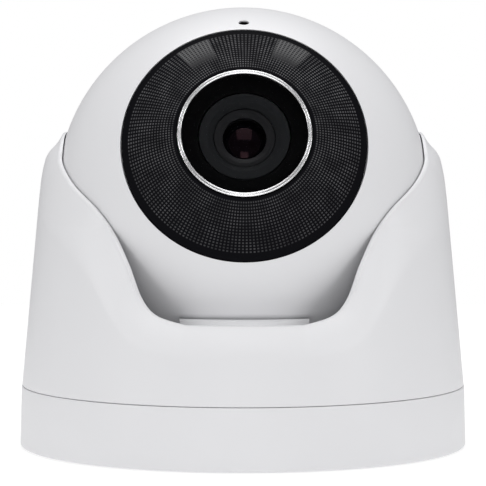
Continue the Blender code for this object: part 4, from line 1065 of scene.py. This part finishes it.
@dataclass
class BallShells:
    """The ball's two shells and the service door."""

    wall: float = 2.4
    split: float = -8.0
    rear_flat: float = 40.5
    face_radius: float = 29.0
    face_recess: float = 2.0
    ledge: float = 2.0
    ledge_thickness: float = 1.0
    edge_round: float = 0.25
    hub_radius: float = 5.0
    hub_bore: float = 3.5
    hub_proud: float = 0.1
    screw_circle: float = 39.6
    screw_azimuths: tuple[float, ...] = (25.0, 155.0, 235.0, 305.0)
    screw_head: float = 2.5
    screw_shaft: float = 1.4
    boss: float = 3.4
    boss_length: float = 12.0
    head_depth: float = 6.0
    groove_inner: float = 43.35
    groove_width: float = 1.1
    groove_depth: float = 1.1
    door_half_width: float = 15.0
    door_top: float = -12.0
    door_low: float = -27.0
    door_land: float = 3.0
    door_wall: float = 1.2
    mic_angle: float = 44.0
    mic_hole: float = 1.3
    mic_bore: float = 0.5
    mic_flange: float = 1.9
    mic_sunk: float = 0.3
    mic_play: float = 0.04
    gap: float = 0.3

    def build(self, shop: Workshop) -> None:
        """Make the shells and the door."""
        self.ball = shop.half_width("ball_front_shell")
        self.inner = self.ball - self.wall
        self.axes = shop.eyeball_axes()
        self._front(shop)
        self._rear(shop)
        self._door(shop)
        self._mic_gasket(shop)

    def _angle(self, radius: float, height: float) -> float:
        """The angle above the horizontal at which a sphere reaches a height, in degrees."""
        return math.degrees(math.asin(height / radius))

    def _bosses(self, radius: float, low: float, high: float) -> Iterable[bpy.types.Object]:
        """A rod at each of the shell's screws."""
        for azimuth in self.screw_azimuths:
            yield rod(
                radius,
                on_circle(self.screw_circle, azimuth, low),
                on_circle(self.screw_circle, azimuth, high),
                self.axes,
            )

    def _front(self, shop: Workshop) -> None:
        """The front shell, with the face's ledge, the screw bosses and the microphone's hole."""
        face_height = sphere_height(self.ball, self.face_radius)
        ledge_top = face_height - self.face_recess
        underside = ledge_top - self.ledge_thickness
        crown = sphere_height(self.ball, self.face_radius + self.edge_round)
        outline = [
            *arc(self.ball, self._angle(self.ball, crown), self._angle(self.ball, self.split + 0.12), 44),
            (sphere_height(self.ball, self.split) - 0.12, self.split),
            *arc(self.inner, self._angle(self.inner, self.split), self._angle(self.inner, underside), 24),
            (self.face_radius - self.ledge, underside),
            (self.face_radius - self.ledge, ledge_top),
            (self.face_radius, ledge_top),
            (self.face_radius, face_height - self.edge_round),
            (self.face_radius + self.edge_round * 0.3, face_height - self.edge_round * 0.3),
        ]
        front = turned("ball_front_shell", outline, FINE, self.axes)
        combine(front, Cut.ADD, *self._bosses(self.boss, self.split, self.split + self.boss_length))
        bore_end = self.split + self.boss_length - 2.0
        combine(front, Cut.AWAY, *self._bosses(self.screw_shaft, self.split - 1.0, bore_end))
        mic = math.radians(self.mic_angle)
        way = Vector((0.0, math.sin(mic), math.cos(mic)))
        hole = rod(self.mic_hole, way * (self.inner - 2.0), way * (self.ball + 2.0), self.axes)
        combine(front, Cut.AWAY, hole)
        shop.finish(front, "ball_front_shell", Body.EYEBALL, "white_shell")

    def _mic_gasket(self, shop: Workshop) -> None:
        """The microphone's gasket, whose dark nozzle fills the shell's hole almost to the surface as painted
        shade for the hole.
        """
        shade_filling_nozzle = self.mic_hole - self.mic_play
        outline = eased(
            (
                (self.mic_bore, self.inner - 1.4),
                (self.mic_flange, self.inner - 1.4),
                (self.mic_flange, self.inner - 0.6),
                (shade_filling_nozzle, self.inner - 0.6),
                # Painted shade: the black nozzle reaches to just under the shell's surface, standing in for
                # the shade inside the hole.
                (shade_filling_nozzle, self.ball - self.mic_sunk, 0.15),
                (self.mic_bore, self.ball - self.mic_sunk, 0.15),
            )
        )
        lean = Matrix.Rotation(-math.radians(self.mic_angle), 4, "X")
        gasket = turned("mic_gasket", outline, ROUND, self.axes @ lean)
        shop.finish(gasket, "mic_gasket", Body.EYEBALL, "black_rubber")

    def _rear(self, shop: Workshop) -> None:
        """The rear shell, with its hub, screw pockets, seal groove and service opening."""
        top = self.split - self.gap
        inner_flat = self.rear_flat - self.wall
        hub_end = self.ball + self.hub_proud
        outline = [
            (sphere_height(self.ball, top) - 0.12, top),
            *arc(self.ball, self._angle(self.ball, top - 0.12), -self._angle(self.ball, self.rear_flat), 40),
            (self.hub_radius, -self.rear_flat),
            (self.hub_radius, -hub_end),
            (self.hub_bore, -hub_end),
            (self.hub_bore, -inner_flat),
            *arc(self.inner, -self._angle(self.inner, inner_flat), self._angle(self.inner, top), 24),
        ]
        rear = turned("ball_rear_shell", outline, FINE, self.axes)
        head_seat = top - self.head_depth
        combine(rear, Cut.AWAY, *self._bosses(self.screw_shaft, head_seat - 4.0, top + 1.0))
        combine(rear, Cut.AWAY, *self._bosses(self.screw_head, -self.ball, head_seat))
        groove = (self.groove_inner, self.groove_inner + self.groove_width)
        low = top - self.groove_depth
        ring = turned(
            "groove",
            ((groove[0], low), (groove[1], low), (groove[1], top + 1.0), (groove[0], top + 1.0)),
            FINE,
            self.axes,
        )
        combine(rear, Cut.AWAY, ring)
        recess = self._ball_skin("recess", self.ball + 2.0, self.ball - self.door_wall - self.gap)
        combine(recess, Cut.KEEP, self._door_box(0.0, 10.0))
        combine(rear, Cut.AWAY, recess, self._door_box(self.door_land, 20.0))
        shop.finish(rear, "ball_rear_shell", Body.EYEBALL, "white_shell")

    def _ball_skin(self, name: str, outer: float, inner: float) -> bpy.types.Object:
        """A hollow ball, to be cut to a panel."""
        return turned(name, [*arc(outer, 89.9, -89.9, 72), *arc(inner, -89.9, 89.9, 72)], FINE, self.axes)

    def _door_box(self, shrink: float, shallow: float) -> bpy.types.Object:
        """A box round the service opening, which looks towards the ball's underside."""
        half = self.door_half_width - shrink
        low = (-half, -self.ball - 3.0, self.door_low + shrink)
        return block(low, (half, -shallow, self.door_top - shrink), self.axes)

    def _door(self, shop: Workshop) -> None:
        """The curved door, with the holes of its two screws."""
        inner = self.ball - self.door_wall
        door = self._ball_skin("service_door", self.ball - 0.05, inner)
        combine(door, Cut.KEEP, self._door_box(self.gap, 10.0))
        middle = (self.door_top + self.door_low) / 2
        for side in (-1.0, 1.0):
            across = side * (self.door_half_width - self.door_land / 2)
            way = Vector((across, -math.sqrt(self.ball**2 - across**2 - middle**2), middle)).normalized()
            hole = rod(1.0 + self.gap, way * (inner - 1.0), way * (self.ball + 1.0), self.axes)
            combine(door, Cut.AWAY, hole)
        shop.finish(door, "service_door", Body.EYEBALL, "white_shell")


@dataclass
class Face:
    """What fills the eyeball's opening: the diffuser, the bright ring, the window and its gasket."""

    opening: float = 29.0
    recess: float = 2.0
    set_back: float = 0.15
    wall: float = 2.0
    gap: float = 0.3
    ring_outer: float = 15.65
    ring_wall: float = 0.95
    ring_proud: float = 0.3
    ring_depth: float = 2.0
    bead: float = 0.165
    groove: float = 0.5
    bead_fall: float = 0.08
    squares_inner: float = 16.5
    squares_outer: float = 27.3
    rows_per_ring: int = 4
    square_proud: float = 0.06
    window_set_back: float = 0.5
    window_thickness: float = 1.4
    gasket_inner: float = 10.9
    gasket_thickness: float = 0.8
    squares: Diffuser = DIFFUSER

    def build(self, shop: Workshop) -> None:
        """Make the face's pieces."""
        self.ball = shop.half_width("ball_front_shell")
        self.front = sphere_height(self.ball, self.ring_outer)
        self.axes = shop.eyeball_axes()
        self._diffuser(shop)
        self._ring(shop)
        self._window(shop)

    def _diffuser(self, shop: Workshop) -> None:
        """The smoked ring, moulded in small squares that stand a little proud."""
        outer = self.ball - self.set_back
        inner = outer - self.wall
        edge = self.opening - self.gap
        hole = self.ring_outer + self.gap
        foot = sphere_height(self.ball, self.opening) - self.recess + self.gap
        rows = self.squares.rings * self.rows_per_ring
        first, last = (self._fall(outer, radius) for radius in (self.squares_inner, self.squares_outer))
        squares = np.linspace(first, last, rows + 1)
        top = [self._fall(outer, hole), *squares, *np.linspace(squares[-1], self._fall(outer, edge), 6)[1:]]
        outline = [
            *((outer * math.sin(angle), outer * math.cos(angle)) for angle in top),
            (edge, foot),
            (edge - 2.0, foot),
            *arc(inner, *(math.degrees(math.acos(radius / inner)) for radius in (edge - 2.6, hole)), 6),
        ]
        facets = self.squares.spokes * self.rows_per_ring
        diffuser = turned("diffuser_ring", outline, facets)
        self._number_squares(diffuser.data, float(squares[0]), float(squares[-1]), outer)
        self._raise_squares(diffuser)
        settle(diffuser, self.axes)
        shop.finish(diffuser, "diffuser_ring", Body.EYEBALL, "smoked_diffuser", 40.0)

    @staticmethod
    def _fall(radius: float, away: float) -> float:
        """The angle off the axis at which a sphere reaches a distance from it, in radians."""
        return math.asin(away / radius)

    def _number_squares(self, mesh: bpy.types.Mesh, first: float, last: float, outer: float) -> None:
        """Give the top its UV map, which counts spokes round the axis and rings from the hole outwards."""
        layer = mesh.uv_layers.new(name="squares")
        per_ring = (last - first) / self.squares.rings
        for face in mesh.polygons:
            middle = math.atan2(face.center.y, face.center.x)
            for corner in face.loop_indices:
                place = mesh.vertices[mesh.loops[corner].vertex_index].co
                turn = math.atan2(place.y, place.x)
                turn += math.tau * round((middle - turn) / math.tau)
                spoke = turn + (math.tau if middle < 0 else 0.0)
                away = math.atan2(math.hypot(place.x, place.y), place.z)
                on_top = place.length > (outer - 0.01) * MM and face.normal.z > 0.2
                ring = (away - first) / per_ring if on_top else -1.0
                layer.data[corner].uv = (spoke / math.tau * self.squares.spokes, ring)

    def _raise_squares(self, diffuser: bpy.types.Object) -> None:
        """Lift the middle of every square by moving its inner points along their normals."""
        layer = diffuser.data.uv_layers["squares"]
        quarter = 1.0 / self.rows_per_ring
        raised = set()
        for face in diffuser.data.polygons:
            spoke = sum(layer.data[corner].uv.x for corner in face.loop_indices) / face.loop_total
            ring = sum(layer.data[corner].uv.y for corner in face.loop_indices) / face.loop_total
            if not 0.0 < ring < self.squares.rings:
                continue
            if quarter < spoke % 1.0 < 1.0 - quarter and quarter < ring % 1.0 < 1.0 - quarter:
                raised.add(face.index)
        pick(diffuser)
        for face in diffuser.data.polygons:
            face.select = face.index in raised
        bpy.ops.object.mode_set(mode="EDIT")
        bpy.ops.mesh.select_mode(type="FACE")
        bpy.ops.transform.shrink_fatten(value=self.square_proud * MM)
        bpy.ops.mesh.select_mode(type="VERT")
        bpy.ops.object.mode_set(mode="OBJECT")

    def _ring(self, shop: Workshop) -> None:
        """The bright ring: two polished beads with a groove between them."""
        front = self.front + self.ring_proud
        inner = self.ring_outer - self.ring_wall
        foot = front - self.ring_depth
        beads = (
            (inner + self.bead, front - self.bead),
            (self.ring_outer - self.bead, front - self.bead - self.bead_fall),
        )
        outline = [(inner, foot)]
        groove_width = self.ring_wall - 4 * self.bead
        for middle, height in beads:
            outline += [(middle + away, rise) for away, rise in arc(self.bead, 180.0, 0.0, 12, height)]
            side = middle + self.bead
            outline += [(side + edge, front - self.groove) for edge in (0.02, groove_width - 0.02)]
        outline = [*outline[:-2], (self.ring_outer, foot)]
        ring = turned("lens_ring", outline, FINE, self.axes)
        shop.finish(ring, "lens_ring", Body.EYEBALL, "bright_chrome", 50.0)

    def _window(self, shop: Workshop) -> None:
        """The window, and the gasket that shows black round it."""
        radius = self.ring_outer - self.ring_wall - self.gap
        front = self.front - self.window_set_back
        back = front - self.window_thickness
        window = turned(
            "window_glass",
            eased(((0.0, back), (radius, back, 0.12), (radius, front, 0.12), (0.0, front))),
            FINE,
            self.axes,
        )
        shop.finish(window, "window_glass", Body.EYEBALL, "window_glass")
        top = back - self.gap
        low = top - self.gasket_thickness
        outer = self.ring_outer - 0.4
        gasket = turned(
            "window_gasket",
            eased(
                (
                    (self.gasket_inner, low, 0.1),
                    (outer, low, 0.1),
                    (outer, top, 0.1),
                    (self.gasket_inner, top, 0.1),
                )
            ),
            FINE,
            self.axes,
        )
        shop.finish(gasket, "window_gasket", Body.EYEBALL, "black_rubber")


@dataclass
class LensStack:
    """The shield, retainer, barrel and front element that show through the window."""

    shield_inner: float = 8.0
    shield_outer: float = 10.6
    shield_length: float = 9.0
    lip_inner: float = 7.28
    flange: float = 7.5
    barrel: float = 6.0
    barrel_wall: float = 0.9
    element: float = 5.3
    dome: float = 1.4
    set_back: float = 4.3
    window_back: float = 1.9
    length: float = 17.0
    gap: float = 0.3

    def build(self, shop: Workshop) -> None:
        """Make the pieces of the lens."""
        face = Face()
        front = sphere_height(shop.half_width("ball_front_shell"), face.ring_outer)
        axes = shop.eyeball_axes()
        shield_top = front - self.window_back - self.gap
        shield = eased(
            (
                (self.shield_outer, shield_top - self.shield_length),
                (self.shield_outer, shield_top, 0.2),
                (self.shield_inner + 0.6, shield_top, 0.2),
                (self.lip_inner, shield_top - 1.0, 0.15),
                (self.lip_inner, shield_top - 1.35, 0.1),
                (self.shield_inner, shield_top - 2.2, 0.2),
                (self.shield_inner, shield_top - self.shield_length),
            )
        )
        shop.finish(turned("light_shield", shield, FINE, axes), "light_shield", Body.EYEBALL, "black_plastic")

        top = front - self.set_back
        retainer = eased(
            (
                (self.element - 0.2, top + self.gap),
                (self.flange - self.gap, top + self.gap),
                (self.flange - self.gap, top + 0.9, 0.2),
                (self.element + 0.9, top + 0.9, 0.2),
                (self.element - 0.2, top + 0.5, 0.1),
            )
        )
        piece = turned("lens_retainer", retainer, FINE, axes)
        shop.finish(piece, "lens_retainer", Body.EYEBALL, "anodised_black")

        bore = self.barrel - self.barrel_wall
        seat = top - 2.2
        back = top - self.length
        barrel = (
            (self.flange, top),
            (self.flange, top - 3.0),
            (self.barrel, top - 3.4),
            (self.barrel, back),
            (bore - 1.2, back),
            (bore - 1.2, back + 2.0),
            (bore, back + 2.0),
            (bore, seat),
            (self.element + self.gap, seat),
            (self.element + self.gap, top),
        )
        shop.finish(turned("lens_barrel", barrel, FINE, axes), "lens_barrel", Body.EYEBALL, "anodised_black")

        radius = (self.element**2 / self.dome + self.dome) / 2
        crown = top - self.gap - 0.2
        half = math.degrees(math.asin(self.element / radius))
        element = [
            *arc(radius, 90.0, 90.0 - half, 24, crown - radius),
            (self.element, seat + self.gap),
            (0.0, seat + self.gap),
        ]
        element[0] = (0.0, crown)
        piece = turned("lens_front_element", element, FINE, axes)
        shop.finish(piece, "lens_front_element", Body.EYEBALL, "lens_glass")


# Studio --------------------------------------------------------------------


@dataclass(frozen=True)
class SoftBox:
    """A soft light that looks at the object."""

    name: str
    place: tuple[float, float, float]
    size: tuple[float, float]
    power: float

    def hang(self, aim: Vector) -> None:
        """Hang the light and turn it to a point."""
        lamp = bpy.data.lights.new(self.name, "AREA")
        lamp.shape = "RECTANGLE"
        lamp.size, lamp.size_y = self.size
        lamp.energy = self.power
        held = bpy.data.objects.new(self.name, lamp)
        bpy.context.scene.collection.objects.link(held)
        held.location = self.place
        held.rotation_euler = (Vector(self.place) - aim).to_track_quat("Z", "Y").to_euler()


@dataclass
class Studio:
    """A pale floor, an even white surround, soft lights and the camera."""

    camera_place: tuple[float, float, float] = (-0.00635, -0.650, 0.0835)
    camera_pitch: float = 2.99
    camera_turn: float = 0.56
    lens: float = 195.1
    sensor: float = 36.0
    surround: float = 0.3
    mirrored_surround: float = 0.16
    floor_side: float = 0.9
    floor_drop: float = 0.0002
    floor_glow: float = 0.6
    floor_pale: Colour = (0.46, 0.46, 0.46)
    floor_drift: Colour = (0.44, 0.44, 0.44)
    boxes: tuple[SoftBox, ...] = (
        SoftBox("overhead_light", (0.0, 0.15, 1.3), (1.1, 1.1), 12.0),
        SoftBox("upper_light", (0.0, -0.7, 1.2), (0.8, 0.8), 2.6),
        SoftBox("front_light", (0.0, -1.5, 0.12), (0.5, 0.5), 1.6),
        SoftBox("left_light", (-1.2, -0.7, 0.5), (0.5, 0.5), 4.4),
        SoftBox("right_light", (1.2, -0.7, 0.5), (0.5, 0.5), 4.4),
        SoftBox("cutout_fill", (0.0, -0.0445, 0.0285), (0.04, 0.008), 0.0010),
    )

    def set_up(self, aim: Vector) -> None:
        """Place the camera, the floor and the lights."""
        self._camera()
        self._floor()
        self._surround()
        for box in self.boxes:
            box.hang(aim)
        bpy.context.scene.view_settings.view_transform = "Standard"

    def _camera(self) -> None:
        """The camera, level with the ball and close to straight in front."""
        data = bpy.data.cameras.new("camera")
        data.lens = self.lens
        data.sensor_width = self.sensor
        camera = bpy.data.objects.new("camera", data)
        bpy.context.scene.collection.objects.link(camera)
        camera.location = self.camera_place
        camera.rotation_euler = (math.radians(90.0 - self.camera_pitch), 0.0, -math.radians(self.camera_turn))
        bpy.context.scene.camera = camera

    def _floor(self) -> None:
        """The floor, which glows a little so that it stays as pale as the surround."""
        clear_selection()
        bpy.ops.mesh.primitive_plane_add(size=self.floor_side, location=(0.0, 0.0, -self.floor_drop))
        floor = bpy.context.active_object
        floor.name = "floor"
        recipe = Recipe("floor_paint", Specular_IOR_Level=0.1, Emission_Strength=self.floor_glow)
        drift = recipe.noise(recipe.object_place(), 3.0)
        colour = recipe.mix(drift, self.floor_pale, self.floor_drift)
        recipe.paint(Base_Color=colour, Roughness=drift * 0.1 + 0.8)
        recipe.feed(recipe.shader.inputs["Emission Color"], (1.0, 1.0, 1.0))
        floor.data.materials.append(recipe.material)

    def _surround(self) -> None:
        """White where the camera looks, a little dimmer as light, and dark where gloss would mirror it."""
        world = bpy.data.worlds.new("surround")
        bpy.context.scene.world = world
        world.use_nodes = True
        nodes, links = world.node_tree.nodes, world.node_tree.links
        light = nodes["Background"]
        path = nodes.new("ShaderNodeLightPath")
        mix = nodes.new("ShaderNodeMix")
        mix.inputs[2].default_value = 1.0
        dim = nodes.new("ShaderNodeMix")
        dim.inputs[2].default_value = self.surround
        dim.inputs[3].default_value = self.mirrored_surround
        links.new(path.outputs["Is Glossy Ray"], dim.inputs[0])
        links.new(path.outputs["Is Camera Ray"], mix.inputs[0])
        links.new(dim.outputs[0], mix.inputs[2])
        mix.inputs[3].default_value = 1.0
        links.new(mix.outputs[0], light.inputs["Strength"])
        light.inputs["Color"].default_value = (1.0, 1.0, 1.0, 1.0)


def main() -> None:
    """Build the object round the frame and light it."""
    logging.basicConfig(level=logging.INFO, format="%(name)s: %(message)s")
    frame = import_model()
    shop = Workshop(frame)
    shop.palette.dress_frame(frame["nodes"])
    Studio().set_up(shop.ball_centre())
    for assembly in (MountingBase(), BodyCover(), BallCollar(), BallShells(), Face(), LensStack()):
        assembly.build(shop)


if __name__ == "__main__":
    main()
